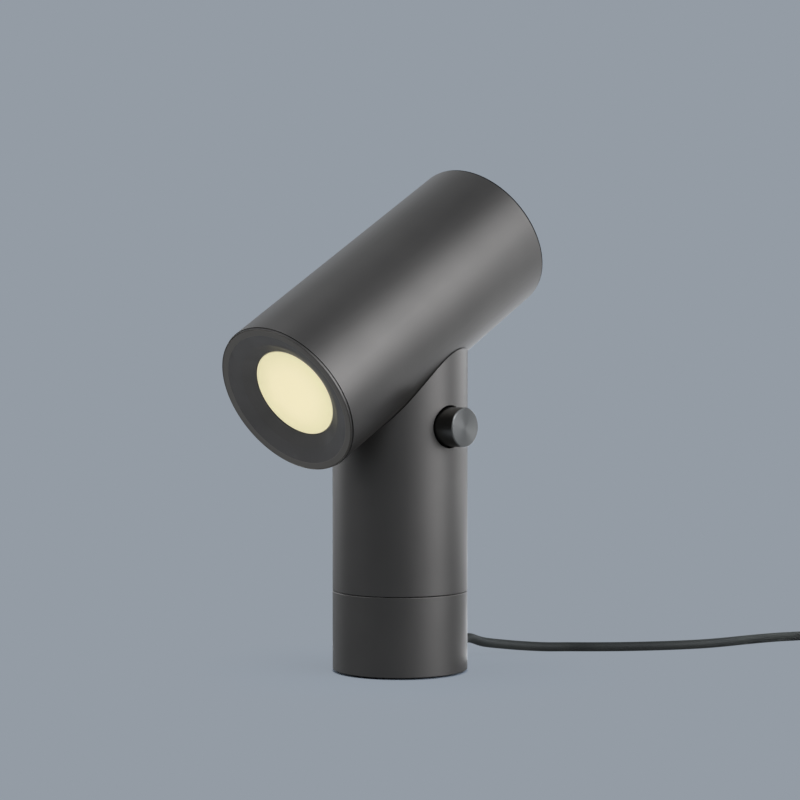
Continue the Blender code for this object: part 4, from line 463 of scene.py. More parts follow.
# soft PVC or rubber, moulded: matt, a little greyer than the cord
boot_rubber = moulded("moulded_black_rubber", "#2c2c2c", "#242424", 0.6, 0.0004, 0.00002)

# the taper's radius falls evenly, less a bell curve for each groove
y = np.linspace(*BOOT_TAPER, BOOT_ROWS)
radius = np.interp(y, BOOT_TAPER, (BOOT_NECK_RADIUS, BOOT_TIP_RADIUS))
radius -= BOOT_GROOVE * np.exp(-(((y[:, None] - BOOT_GROOVES) / BOOT_GROOVE_WIDTH) ** 2)).sum(axis=1)
flange = (
    (0, BOOT_ROOT),
    (BOOT_FLANGE_RADIUS, BOOT_ROOT),
    (BOOT_FLANGE_RADIUS, BOOT_ROOT + BOOT_FLANGE),
    (BOOT_NECK_RADIUS, BOOT_ROOT + BOOT_FLANGE),
    (BOOT_NECK_RADIUS, BOOT_TAPER[0]),
)
tip = (
    (BOOT_TIP_RADIUS, BOOT_TAPER[1]),
    (BOOT_TIP_RADIUS, BOOT_TIP),
    (BOOT_BORE, BOOT_TIP),
    (BOOT_BORE, BOOT_BORE_FLOOR),
    (0, BOOT_BORE_FLOOR),
)
section = np.vstack([eased(flange, 0.0002), np.stack([radius, y], axis=-1), eased(tip, 0.0003)])
grid = placed(turned(section, BOOT_SIDES), (0, 0, CORD_HEIGHT), (1, 0, 0), (0, 0, -1), (0, 1, 0))
boot = piece("cord_boot", [grid], boot_rubber)
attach(boot, "base")
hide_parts("strain_relief")

# Base: a drawn tube, faced square with a small chamfer at both ends, stands on a rubber pad. Its plates and
# the cast counterweight are closed in it. Three long screws hold them together.
TUBE_RADIUS = 0.0375
TUBE_BORE = 0.035
TUBE_STEP_BORE = 0.0364
TUBE_STEP_DEPTH = 0.003
TUBE_CHAMFER = 0.0003
TUBE_EDGE = 0.0001
BASE_BOTTOM = 0.001
BASE_TOP = 0.0449
BASE_MIDDLE = 0.025
CORD_HOLE = 0.0053
CORD_WINDOW = 0.0085
CORD_WINDOW_ROWS = 13
CORD_WINDOW_HALF = 10
PAD_RADIUS = 0.033
PAD_THICKNESS = 0.0012
PAD_EDGE = 0.0004
PAD_SIDES = 160
PAD_RIBS = 0.006, 0.031
PAD_RIB_STEP = 0.0012
PAD_RIB_DEPTH = 0.00025
TUBE_COLUMNS = 240


def window_rim(rows, half):
    """The row and column numbers round the rim of a window that is 2 x half columns wide, anticlockwise."""
    first, last = rows
    onward = 1 if last > first else -1
    across, up = np.arange(0, 2 * half), np.arange(first, last, onward)
    row = np.concatenate([np.full(2 * half, first), up, np.full(2 * half, last), up[::-1] + onward])
    column = np.concatenate([across, np.full(len(up), 2 * half), across[::-1] + 1, np.zeros(len(up), int)])
    return row, column


def pierced(radius, height, angle, outer, inner, half, middle, hole, ease=0.0003):
    """A tube wall with one round hole: the grid less a window on each side, two patches and the hole's rim.

    radius and height are grids of section rows by angles, and the section is closed on itself. outer and
    inner are the window's first and last rows on the two sides. Each window is filled along straight lines
    in angle and height, from the hole's rim to the window's. The hole is a straight bore, so at each
    radius its sideways reach is the hole's own, and the angle there is the arcsine of reach over radius.
    """
    rows, columns = radius.shape
    wall = np.stack([radius * np.cos(angle), radius * np.sin(angle), height], axis=-1)
    faces = grid_faces(rows, columns, loop_rows=True).reshape(rows, columns, 4)
    kept = np.ones((rows, columns), bool)
    kept[min(outer) : max(outer), : 2 * half] = False
    kept[min(inner) : max(inner), : 2 * half] = False
    parts = [(wall, faces[kept])]
    facing = angle[half]
    row, column = window_rim(outer, half)
    bearing = np.arctan2(height[row, column] - middle, (angle[column] - facing) * radius[row, column])

    def bored(at, reach):
        turned_by = np.arcsin(reach * np.cos(bearing) / at)
        return np.stack([facing + turned_by, middle + reach * np.sin(bearing)], axis=-1)

    def upright(places, at):
        return np.stack([at * np.cos(places[..., 0]), at * np.sin(places[..., 0]), places[..., 1]], axis=-1)

    # the patches' rows lie closer together towards the hole
    blend = (np.linspace(0, 1, 9) ** 1.6)[:, None, None]
    for rim_rows, reach in ((outer, hole + ease), (inner, hole)):
        row, column = window_rim(rim_rows, half)
        at = radius[row[0], column[0]]
        rim = np.stack([angle[column], height[row, column]], axis=-1)
        parts.append(upright((1 - blend) * bored(at, reach) + blend * rim, at))
    out, inside = radius[outer[0], half], radius[inner[0], half]
    bore = [(out, hole + ease), (out - ease, hole), (out - 1.7 * ease, hole), (inside, hole)]
    parts.append(np.stack([upright(bored(at, reach), at) for at, reach in bore]))
    return parts


def darkened(code, share):
    """An sRGB hex colour as linear colour, its red, green and blue times share."""
    return (*(share * part for part in linear(code)[:3]), 1)


def anodised(name, tilt, tint="#585450", rough=0.45, edge_tint="#fffcf8"):
    """Drawn aluminium tube, bead-blasted and black anodised: a dense fine grain that spreads each highlight
    into a soft band, with very faint drawing lines along the tube. tilt turns the lines to the tube's axis,
    and edge_tint is its colour where it is seen at a slant. Real grit is about 0.1 mm and doesn't show at
    this distance, so the grain is drawn at 0.5 mm.
    """
    material, tree, shader, spot = new_finish(name)
    level = node(tree, "Mapping", {"Vector": spot, "Rotation": (-tilt, 0, 0)})
    long = node(tree, "Mapping", {"Vector": level, "Scale": (900, 900, 25)})
    lines = node(tree, "TexNoise", {"Vector": long, "Scale": 1, "Detail": 2})
    grit = node(tree, "TexNoise", {"Vector": spot, "Scale": 2000, "Detail": 2})
    cloud = node(tree, "TexNoise", {"Vector": spot, "Scale": 25, "Detail": 2})
    both = node(tree, "Math", {0: lines, 1: grit}, operation="ADD")
    gloss = node(tree, "MapRange", {0: both, 1: 0.7, 2: 1.3, 3: rough - 0.02, 4: rough + 0.02})
    patch = node(tree, "MapRange", {0: cloud, 1: 0.3, 2: 0.7})
    tone = node(tree, "Mix", {0: patch, 6: darkened(tint, 0.9), 7: linear(tint)}, data_type="RGBA")
    bump = node(tree, "Bump", {"Strength": 0.25, "Distance": 0.000006, "Height": both})
    surface = {"Base Color": tone.outputs[2], "Metallic": 1, "Specular Tint": linear(edge_tint)}
    node(tree, shader, {**surface, "Roughness": gloss, "Normal": bump})
    return material


stem_anodised = anodised("blasted_black_anodised_stem", 0)
column_step = 2 * pi / TUBE_COLUMNS


def tube_end(bottom, wall_start):
    """The section round a tube's lower end: its bore, the step in it, its face, the chamfer and its side."""
    corners = (
        (TUBE_BORE, bottom + TUBE_STEP_DEPTH),
        (TUBE_STEP_BORE, bottom + TUBE_STEP_DEPTH),
        (TUBE_STEP_BORE, bottom),
        (TUBE_RADIUS - TUBE_CHAMFER, bottom),
        (TUBE_RADIUS, bottom + TUBE_CHAMFER),
        (TUBE_RADIUS, wall_start),
    )
    return eased(corners, TUBE_EDGE)


angle = pi / 2 + column_step * (np.arange(TUBE_COLUMNS) - CORD_WINDOW_HALF)
window = CORD_HEIGHT + np.linspace(-CORD_WINDOW, CORD_WINDOW, CORD_WINDOW_ROWS)
outer_low = tube_end(BASE_BOTTOM, 0.003)
outer_high = eased(
    (
        (TUBE_RADIUS, BASE_MIDDLE),
        (TUBE_RADIUS, BASE_TOP - TUBE_CHAMFER),
        (TUBE_RADIUS - TUBE_CHAMFER, BASE_TOP),
        (TUBE_STEP_BORE, BASE_TOP),
        (TUBE_STEP_BORE, BASE_TOP - TUBE_STEP_DEPTH),
        (TUBE_BORE, BASE_TOP - TUBE_STEP_DEPTH),
        (TUBE_BORE, BASE_MIDDLE),
    ),
    TUBE_EDGE,
)
section = np.vstack([
    outer_low,
    np.stack([np.full_like(window, TUBE_RADIUS), window], axis=-1),
    outer_high,
    np.stack([np.full_like(window, TUBE_BORE), window[::-1]], axis=-1),
])
outer = (len(outer_low), len(outer_low) + CORD_WINDOW_ROWS - 1)
inner = (len(section) - 1, len(section) - CORD_WINDOW_ROWS)
radius, height = (np.repeat(section[:, i : i + 1], TUBE_COLUMNS, 1) for i in (0, 1))
parts = pierced(radius, height, angle, outer, inner, CORD_WINDOW_HALF, CORD_HEIGHT, CORD_HOLE)
sleeve = piece("base_tube", parts, stem_anodised)
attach(sleeve, "base")
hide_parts("base_sleeve")

pad_rubber = moulded("moulded_rubber_pad", "#262626", "#1e1e1e", 0.75, 0.0006, 0.00005)
ribs = np.arange(*PAD_RIBS, PAD_RIB_STEP)
ribs = np.stack([ribs, PAD_RIB_DEPTH * (np.arange(len(ribs)) % 2)], axis=-1)
rim = (PAD_RADIUS, PAD_THICKNESS), (PAD_RADIUS, PAD_EDGE), (PAD_RADIUS - PAD_EDGE, 0)
section = np.vstack([eased([(0, PAD_THICKNESS), *rim], 0.0001), ribs[::-1], (0, 0)])
pad = piece("rubber_foot", [turned(section, PAD_SIDES)], pad_rubber)
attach(pad, "base")
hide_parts("foot_pad")


def dress(finish, *names):
    """Gives CAD pieces that keep their own shape a finish."""
    for name in names:
        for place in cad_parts[name].material_slots:
            place.material = finish


def metal(name, tint, rough, grain, depth, stretch=(1, 1, 1)):
    """A plain metal whose surface shows how it was made: grain is the marks' size in metres, depth their
    depth, and stretch draws them out into tool marks. The gloss changes from mark to mark.
    """
    material, tree, shader, spot = new_finish(name)
    drawn = node(tree, "Mapping", {"Vector": spot, "Scale": stretch})
    marks = node(tree, "TexNoise", {"Vector": drawn, "Scale": 1 / grain, "Detail": 3})
    gloss = node(tree, "MapRange", {0: marks, 1: 0.3, 2: 0.7, 3: rough + 0.06, 4: rough - 0.06})
    tone = node(tree, "Mix", {0: marks, 6: darkened(tint, 0.8), 7: linear(tint)}, data_type="RGBA")
    bump = node(tree, "Bump", {"Strength": 0.4, "Distance": depth, "Height": marks})
    surface = {"Base Color": tone.outputs[2], "Metallic": 1, "Roughness": gloss, "Normal": bump}
    node(tree, shader, surface)
    return material


# zinc-plated pressed steel: bluish, with soft pale crystals; cast iron: dark, coarse sand grain
zinc = metal("zinc_plated_steel", "#b4b7bb", 0.34, 0.0015, 0.00001)
cast_iron = metal("sand_cast_iron", "#5d5b59", 0.62, 0.0012, 0.00012)
dress(zinc, "bottom_plate", "base_screw_1", "base_screw_2", "base_screw_3")
dress(cast_iron, "counterweight")

# Inside the base the cord is gripped by a nylon anchor, and its lead runs on to the swivel.
# Nylon, moulded: milky, slightly waxy. PVC lead: smooth, softly glossy.
white_nylon = moulded("moulded_natural_nylon", "#e4e1d6", "#d3cfc1", 0.42, 0.0006, 0.00001)
lead_pvc = moulded("extruded_pvc_lead", "#cfcbc4", "#bab6ae", 0.38, 0.0008, 0.000005)
dress(white_nylon, "cord_anchor", "terminal_block")
dress(plug_black, "mains_lead")

# Swivel: the stem turns on a hollow steel spindle and slides on a nylon ring. Turned aluminium plates close
# both tubes, a wave washer gives the turn its drag, and a pin in a slot stops it.
turned_aluminium = metal("turned_aluminium", "#c8c9ca", 0.3, 0.0012, 0.00001, (1, 1, 12))
grey_acetal = moulded("moulded_grey_acetal", "#3a3a3a", "#303030", 0.35, 0.0006, 0.00001)
dress(turned_aluminium, "top_plate", "stem_ring")
dress(zinc, "spindle", "thrust_washer", "wave_washer", "spindle_nut", "stop_pin")
dress(grey_acetal, "glide_ring")

# Stem: the same drawn tube as the base, its top cut to the head's curve and its side bored for the knob. The
# cut edges are deburred, which leaves the fine light line along the notch.
HEAD_RADIUS = 0.044
HEAD_DIP = radians(29.3)
HEAD_HEIGHT = 0.2035
NOTCH_RADIUS = HEAD_RADIUS + 0.0003
NOTCH_EDGE = 0.00035
STEM_BOTTOM = 0.0451
KNOB_HEIGHT = 0.1372
KNOB_HOLE = 0.0116
KNOB_WINDOW = 0.0155
KNOB_WINDOW_ROWS = 17
KNOB_WINDOW_HALF = 17
ROWS_ABOVE = 10

angle = column_step * (np.arange(TUBE_COLUMNS) - KNOB_WINDOW_HALF)


def notch(radius):
    """The height at which a wall of that radius meets the notch, which is a cylinder along the head's axis.

    There the head's own upward measure is minus the root of the notch's radius squared less x squared.
    """
    x, y = radius * np.cos(angle), radius * np.sin(angle)
    return HEAD_HEIGHT + (y * sin(HEAD_DIP) - np.sqrt(NOTCH_RADIUS**2 - x**2)) / cos(HEAD_DIP)


def side_rows(radius):
    """The heights of a wall's rows: evenly up the window, then evenly to 0.3 mm under the notch's edge.

    Where the notch comes down to the window, the window ends at 0.74 of the way to its edge.
    """
    low, high = KNOB_HEIGHT - KNOB_WINDOW, KNOB_HEIGHT + KNOB_WINDOW
    edge = notch(radius) - NOTCH_EDGE - 0.0003
    top = np.minimum(high, low + 0.74 * (edge - low))
    share = np.linspace(0, 1, KNOB_WINDOW_ROWS)[:, None]
    upper = np.linspace(0, 1, ROWS_ABOVE + 1)[1:, None]
    return np.vstack([low + share * (top - low), top + upper * (edge - top)])


# the rim: radii, and heights above the notch's own, round the chamfer, over the cut and down into the bore
rim = (
    (TUBE_RADIUS, -NOTCH_EDGE - 0.0001),
    (TUBE_RADIUS, -NOTCH_EDGE),
    (TUBE_RADIUS - NOTCH_EDGE, 0),
    (TUBE_RADIUS - NOTCH_EDGE - 0.0002, 0),
    (TUBE_BORE + 0.0002, 0),
    (TUBE_BORE, 0),
    (TUBE_BORE, -0.0002),
)
stem_end = tube_end(STEM_BOTTOM, STEM_BOTTOM + 0.003)
out_rows, in_rows = side_rows(TUBE_RADIUS), side_rows(TUBE_BORE)[::-1]
height = np.vstack([
    np.repeat(stem_end[:, 1:], TUBE_COLUMNS, 1),
    out_rows,
    [notch(radius) + lift for radius, lift in rim],
    in_rows,
])
radius = np.concatenate([
    stem_end[:, 0],
    np.full(len(out_rows), TUBE_RADIUS),
    [radius for radius, _ in rim],
    np.full(len(in_rows), TUBE_BORE),
])
radius = np.repeat(radius[:, None], TUBE_COLUMNS, 1)
outer = (len(stem_end), len(stem_end) + KNOB_WINDOW_ROWS - 1)
inner = (len(height) - 1, len(height) - KNOB_WINDOW_ROWS)
parts = pierced(radius, height, angle, outer, inner, KNOB_WINDOW_HALF, KNOB_HEIGHT, KNOB_HOLE)
stem = piece("upright_tube", parts, stem_anodised)
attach(stem, "stem")
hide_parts("stem_tube")

# Inside the stem: a pressed chassis plate carries the LED driver and the dimmer. Two long screws pull the
# saddle bracket under the head down on the tube.

# glass-fibre board under green solder resist: glossy, with the copper tracks as paler lines
board_green, tree, shader, spot = new_finish("solder_masked_circuit_board")
tracks = node(tree, "TexBrick", {"Vector": spot, "Scale": 160}, offset=0.5, squash=1).outputs[1]
copper = node(tree, "Mix", {0: tracks, 6: linear("#1f5a34"), 7: linear("#3d7a48")}, data_type="RGBA")
bump = node(tree, "Bump", {"Strength": 0.3, "Distance": 0.00003, "Height": tracks})
node(tree, shader, {"Base Color": copper.outputs[2], "Roughness": 0.3, "Normal": bump})
dress(board_green, "driver_board")
dress(zinc, "chassis", "chassis_screw_left", "chassis_screw_right", "tie_screw_front", "tie_screw_back")

# ferrite core and taped winding: dull charcoal; capacitor: glossy black shrink sleeve
ferrite = moulded("sintered_ferrite", "#3c3b3a", "#2e2d2c", 0.6, 0.0004, 0.00003)
capacitor_sleeve = moulded("shrunk_pet_sleeve", "#232427", "#1b1c1f", 0.25, 0.001, 0.000004)
dress(ferrite, "transformer")
dress(capacitor_sleeve, "capacitor")
dress(lead_pvc, "led_lead", "dimmer_lead")

# die-cast and machined aluminium of the saddle: satin with fine mill marks
milled_aluminium = metal("milled_aluminium", "#bfc0c2", 0.36, 0.0009, 0.00001, (1, 8, 1))
dress(milled_aluminium, "saddle_bracket")
dress(zinc, "head_screw_front", "head_screw_back", "dimmer_body")

# Dimmer: its brass shaft carries a turned aluminium knob, anodised black. The face is spun with concentric
# tool marks, so its highlight breaks into two fans; the side is smoother and reads almost black.
KNOB_FACE = 0.0483
KNOB_RADIUS = 0.0108
KNOB_BACK = 0.0318
KNOB_CHAMFER = 0.0005
KNOB_BORE = 0.0033
KNOB_BORE_FLOOR = 0.0441
KNOB_SIDES = 128
KNOB_FEED = 0.0003

brass = metal("turned_brass", "#c9a35a", 0.28, 0.0008, 0.00001, (14, 1, 1))
dress(brass, "dimmer_nut", "dimmer_shaft")

knob_black, tree, shader, spot = new_finish("turned_black_anodised_knob")
arm = node(tree, "VectorMath", {0: spot, 1: (0, 0, KNOB_HEIGHT)}, operation="SUBTRACT")
arm = node(tree, "VectorMath", {0: arm, 1: (0, 1, 1)}, operation="MULTIPLY")
reach = node(tree, "VectorMath", {0: arm}, operation="LENGTH").outputs["Value"]
marks = node(tree, "Math", {0: reach, 1: 1 / KNOB_FEED}, operation="MULTIPLY")
rings = node(tree, "TexNoise", {"W": marks, "Scale": 1, "Detail": 1}, noise_dimensions="1D")
bump = node(tree, "Bump", {"Strength": 0.5, "Distance": 0.00004, "Height": rings})
outward = node(tree, "VectorMath", {0: arm}, operation="NORMALIZE")
outward = node(tree, "VectorTransform", {0: outward}, convert_from="OBJECT", convert_to="WORLD")
surface = {"Base Color": linear("#6c6a66"), "Metallic": 1, "Roughness": 0.32, "Anisotropic": 0.5}
node(tree, shader, {**surface, "Tangent": outward, "Normal": bump})

section = eased(
    (
        (0, KNOB_FACE),
        (KNOB_RADIUS - KNOB_CHAMFER, KNOB_FACE),
        (KNOB_RADIUS, KNOB_FACE - KNOB_CHAMFER),
        (KNOB_RADIUS, KNOB_BACK + KNOB_CHAMFER),
        (KNOB_RADIUS - KNOB_CHAMFER, KNOB_BACK),
        (KNOB_BORE, KNOB_BACK),
        (KNOB_BORE, KNOB_BORE_FLOOR),
        (0, KNOB_BORE_FLOOR),
    ),
    0.0001,
)
grid = placed(turned(section, KNOB_SIDES), (0, 0, KNOB_HEIGHT), (0, 0, -1), (0, 1, 0), (1, 0, 0))
knob = piece("turned_knob", [grid], knob_black)
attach(knob, "knob")
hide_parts("dimmer_knob")

# Head tube: a wider drawn tube with the stem's finish, stepped inside both ends for the baffle, whose lip
# covers the tube's front end, and for the cap. Screws from inside hold it to the saddle.
HEAD_BORE = 0.0418
HEAD_RIM_BORE = 0.0428
HEAD_STEP_DEPTH = 0.003
HEAD_FRONT = 0.102
HEAD_BACK = -0.076
HEAD_TUBE_FRONT = HEAD_FRONT - 0.0014
HEAD_BACK_CHAMFER = 0.00025, 0.001
HEAD_UPWARD = np.array((0, -sin(HEAD_DIP), cos(HEAD_DIP)))
HEAD_AHEAD = np.array((0, -cos(HEAD_DIP), -sin(HEAD_DIP)))
HEAD_AXES = (1, 0, 0), HEAD_UPWARD, HEAD_AHEAD


def in_head(name, stands_for, section, finish, count=224, extra=()):
    """A section turned about the head's axis, and any more turned sections, put in the head's place."""
    grids = [turned(section, count), *extra]
    made = piece(name, [placed(grid, (0, 0, HEAD_HEIGHT), *HEAD_AXES) for grid in grids], finish)
    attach(made, "stem")
    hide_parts(stands_for)
    return made


def face_places(made):
    """How far the middle of each face lies from the head's axis, and how far along it."""
    middles = face_middles(made) - (0, 0, HEAD_HEIGHT)
    return np.hypot(middles[:, 0], middles @ HEAD_UPWARD), middles @ HEAD_AHEAD


head_anodised = anodised("blasted_black_anodised_head", pi / 2 + HEAD_DIP)
section = eased(
    (
        (HEAD_BORE, 0),
        (HEAD_BORE, HEAD_FRONT - HEAD_STEP_DEPTH),
        (HEAD_RIM_BORE, HEAD_FRONT - HEAD_STEP_DEPTH),
        (HEAD_RIM_BORE, HEAD_TUBE_FRONT),
        (HEAD_RADIUS, HEAD_TUBE_FRONT),
        (HEAD_RADIUS, HEAD_BACK + HEAD_BACK_CHAMFER[1]),
        (HEAD_RADIUS - HEAD_BACK_CHAMFER[0], HEAD_BACK),
        (HEAD_RIM_BORE, HEAD_BACK),
        (HEAD_RIM_BORE, HEAD_BACK + HEAD_STEP_DEPTH),
        (HEAD_BORE, HEAD_BACK + HEAD_STEP_DEPTH),
        (HEAD_BORE, 0),
    ),
    0.00012,
)
# painted shade: the chamfer at the back is coloured near black, with dark slanting reflections, to stand for
# the shadow in the gap at the tube's back edge; it edges the tube with a black line
painted_shade_end = anodised("painted_shade_chamfer", HEAD_DIP, "#0c0c0c", 0.6, "#303030")
head = in_head("lamp_tube", "head_tube", section, [head_anodised, painted_shade_end])
beyond, along = face_places(head)
chamfer = (beyond > HEAD_RADIUS - HEAD_BACK_CHAMFER[0]) & (along < HEAD_BACK + HEAD_BACK_CHAMFER[1])
# the chamfer's faces take the painted shade
head.data.polygons.foreach_set("material_index", chamfer.astype(int))

# Back cap: a spun aluminium disc let into the tube's end, anodised with it, and drawn in by one stud.
CAP_BACK = HEAD_BACK + 0.0003
CAP_RADIUS = 0.0425
CAP_EDGE = 0.0004
CAP_FLANGE = 0.0024
CAP_THICKNESS = 0.002
CAP_RIM_DEPTH = 0.008
CAP_BOSS_RADIUS = 0.007
CAP_BOSS_DEPTH = 0.016
STUD_BORE = 0.0033
STUD_BORE_FLOOR = 0.008
SKIRT_RADIUS = 0.0415

# the flat disc is blasted coarser than the tube, which keeps it dark when it is seen from the side
cap_anodised = anodised("blasted_black_anodised_cap", HEAD_DIP, rough=0.55, edge_tint="#8c8c8c")
section = (
    (0, STUD_BORE_FLOOR),
    (STUD_BORE, STUD_BORE_FLOOR),
    (STUD_BORE, CAP_BOSS_DEPTH),
    (CAP_BOSS_RADIUS, CAP_BOSS_DEPTH),
    (CAP_BOSS_RADIUS, CAP_THICKNESS),
    (SKIRT_RADIUS - CAP_THICKNESS, CAP_THICKNESS),
    (SKIRT_RADIUS - CAP_THICKNESS, CAP_RIM_DEPTH),
    (SKIRT_RADIUS, CAP_RIM_DEPTH),
    (SKIRT_RADIUS, CAP_FLANGE),
    (CAP_RADIUS, CAP_FLANGE),
    (CAP_RADIUS, CAP_EDGE),
    (CAP_RADIUS - CAP_EDGE, 0),
    (0, 0),
)
cap = in_head("back_disc", "head_cap", eased(section + np.array((0, CAP_BACK)), 0.0001), cap_anodised)

# Baffle: a pressed aluminium ring in the tube's front, painted matt black to keep glare down. Its flat rim
# is faced and anodised, with a fine groove inside the lip that covers the tube's end, and runs over a soft
# edge into a shallow cone. Three posts behind it carry the heat sink.
BAFFLE_RADIUS = 0.0427
BAFFLE_INNER_RIM = 0.0394
BAFFLE_RIM_EDGE = 0.0006
BAFFLE_RIM_FALLS = 0.00015, 0.00035
BAFFLE_LIP_RADIUS = 0.0435
BAFFLE_LIP_DEPTH = 0.0013
BAFFLE_GROOVE = BAFFLE_LIP_RADIUS - np.array((0.00065, 0.0005, 0.0003, 0.0001))
BAFFLE_GROOVE_DEPTH = 0.00035
BAFFLE_STEP = HEAD_STEP_DEPTH - 0.0003
BAFFLE_MOUTH = 0.0261
BAFFLE_BEND = 0.0335, 0.0019
BAFFLE_BEND_REACH = 0.0015
BAFFLE_DEPTH = 0.007
BAFFLE_THICKNESS = 0.0016
BAFFLE_SKIRT = 0.0397
BAFFLE_SKIRT_DEPTH = 0.009
POST_RADIUS = 0.0032
POST_PLACE = 0.035
POST_BITE = 0.0004
POST_END = HEAD_FRONT - 0.0328
POST_COUNT = 3
POST_SIDES = 24
POST_START = radians(91.1)

# powder paint on aluminium: flat black with a very fine pebble, and a thin satin coat over it
baffle_paint = moulded("matt_black_powder_paint", "#53504d", "#4d4a47", 0.7, 0.0005, 0.00003, specular=0.1)
shader = baffle_paint.node_tree.nodes["Principled BSDF"]
node(baffle_paint.node_tree, shader, {"Coat Weight": 0.2, "Coat Roughness": 0.2})
# the rim is anodised a paler grey than the tubes
faced_rim = anodised("faced_black_anodised_rim", 0, "#837c74")

# the cone is two straight slopes that meet in a bend. Its back is one slope, the mean of both. Each row
# holds a radius and a depth behind the head's front.
bend, bend_depth = BAFFLE_BEND
outer_slope = bend_depth / (BAFFLE_INNER_RIM - bend)
inner_slope = (BAFFLE_DEPTH - bend_depth) / (bend - BAFFLE_MOUTH)
slope = BAFFLE_DEPTH / (BAFFLE_INNER_RIM - BAFFLE_MOUTH)
back = BAFFLE_DEPTH + BAFFLE_THICKNESS
bend_start = (bend + BAFFLE_BEND_REACH, bend_depth - BAFFLE_BEND_REACH * outer_slope)
section = np.array(
    (
        bend_start,
        (BAFFLE_INNER_RIM - BAFFLE_RIM_EDGE, BAFFLE_RIM_FALLS[1]),
        (BAFFLE_INNER_RIM, BAFFLE_RIM_FALLS[0]),
        (BAFFLE_INNER_RIM + BAFFLE_RIM_EDGE, 0),
        (BAFFLE_GROOVE[0], 0),
        (BAFFLE_GROOVE[1], BAFFLE_GROOVE_DEPTH),
        (BAFFLE_GROOVE[2], BAFFLE_GROOVE_DEPTH),
        (BAFFLE_GROOVE[3], 0),
        (BAFFLE_LIP_RADIUS, 0),
        (BAFFLE_LIP_RADIUS, BAFFLE_LIP_DEPTH),
        (BAFFLE_RADIUS, BAFFLE_LIP_DEPTH),
        (BAFFLE_RADIUS, BAFFLE_STEP),
        (SKIRT_RADIUS, BAFFLE_STEP),
        (SKIRT_RADIUS, BAFFLE_SKIRT_DEPTH),
        (BAFFLE_SKIRT, BAFFLE_SKIRT_DEPTH),
        (BAFFLE_SKIRT, back - slope * (BAFFLE_SKIRT - BAFFLE_MOUTH)),
        (BAFFLE_MOUTH, back),
        (BAFFLE_MOUTH, BAFFLE_DEPTH),
        (bend - BAFFLE_BEND_REACH, bend_depth + BAFFLE_BEND_REACH * inner_slope),
        bend_start,
    )
)
section[:, 1] = HEAD_FRONT - section[:, 1]
post_top = HEAD_FRONT - back + slope * (POST_PLACE - BAFFLE_MOUTH) + POST_BITE
post = eased(((0, post_top), (POST_RADIUS, post_top), (POST_RADIUS, POST_END), (0, POST_END)), 0.0002)
post_places = np.insert(circle(POST_PLACE, POST_COUNT, POST_START), 2, 0, axis=1)
posts = [turned(post, POST_SIDES) + place for place in post_places]
finishes = [baffle_paint, faced_rim, head_anodised]
baffle = in_head("front_ring", "baffle", eased(section, 0.00003), finishes, extra=posts)
beyond, _ = face_places(baffle)
number = (beyond > BAFFLE_INNER_RIM).astype(int) + (beyond > BAFFLE_LIP_RADIUS - 0.00005)
baffle.data.polygons.foreach_set("material_index", number)

# Diffuser: a moulded opal disc that fills the baffle's mouth. The light behind it is warm and a little
# weaker towards the rim.
DIFFUSER_RADIUS = 0.0257
DIFFUSER_FRONT = HEAD_FRONT - 0.0073
DIFFUSER_STEP = HEAD_FRONT - 0.0089
DIFFUSER_BACK = HEAD_FRONT - 0.0109
DIFFUSER_FLANGE = 0.030
DIFFUSER_SIDES = 160
GLOW_FADE = 0.012, 0.0262
GLOW_EDGE = 0.0253, 0.0258
GLOW_STRENGTH = 0.62

# opal acrylic, moulded: milky all through, satin on top, so that the lamp behind it shows as an even glow
opal, tree, shader, spot = new_finish("moulded_opal_acrylic")
middle = (0, -DIFFUSER_FRONT * cos(HEAD_DIP), HEAD_HEIGHT - DIFFUSER_FRONT * sin(HEAD_DIP))
away = node(tree, "VectorMath", {0: spot, 1: middle}, operation="DISTANCE").outputs[1]
ends = {1: GLOW_FADE[0], 2: GLOW_FADE[1]}
fade = node(tree, "MapRange", {0: away, **ends}, interpolation_type="SMOOTHSTEP")
glow = node(tree, "Mix", {0: fade, 6: linear("#f2e2b7"), 7: linear("#e1d5a6")}, data_type="RGBA")
ends = {1: GLOW_EDGE[0], 2: GLOW_EDGE[1], 3: GLOW_STRENGTH, 4: 0}
bright = node(tree, "MapRange", {0: away, **ends})
haze = node(tree, "TexNoise", {"Vector": spot, "Scale": 70, "Detail": 2})
gloss = node(tree, "MapRange", {0: haze, 1: 0.3, 2: 0.7, 3: 0.34, 4: 0.42})
surface = {"Base Color": linear("#c9c3a4"), "Roughness": gloss}
node(tree, shader, {**surface, "Emission Color": glow.outputs[2], "Emission Strength": bright})
section = eased(
    (
        (0, DIFFUSER_FRONT),
        (DIFFUSER_RADIUS, DIFFUSER_FRONT),
        (DIFFUSER_RADIUS, DIFFUSER_STEP),
        (DIFFUSER_FLANGE, DIFFUSER_STEP),
        (DIFFUSER_FLANGE, DIFFUSER_BACK),
        (0, DIFFUSER_BACK),
    ),
    0.0003,
)
diffuser = in_head("opal_disc", "diffuser", section, opal, DIFFUSER_SIDES)

# Light engine behind the diffuser: a white reflector cup, the LED on its board, and a finned heat sink.
# White polycarbonate: bright, satin. LED: yellow phosphor under clear silicone. Heat sink: extruded fins.
reflector_white = moulded("moulded_white_reflector", "#efefec", "#e6e6e2", 0.45, 0.0006, 0.00001)
extruded_aluminium = metal("extruded_aluminium", "#c6c8ca", 0.36, 0.0007, 0.00001, (1, 0.1, 1))
phosphor = moulded("led_phosphor_in_silicone", "#e8c040", "#d9ad2e", 0.2, 0.0006, 0.00002)
dress(reflector_white, "reflector_cup", "led_board")
dress(phosphor, "led_chip")
dress(extruded_aluminium, "heat_sink")
dress(zinc, "cap_stud", "sink_screw_1", "sink_screw_2", "sink_screw_3")

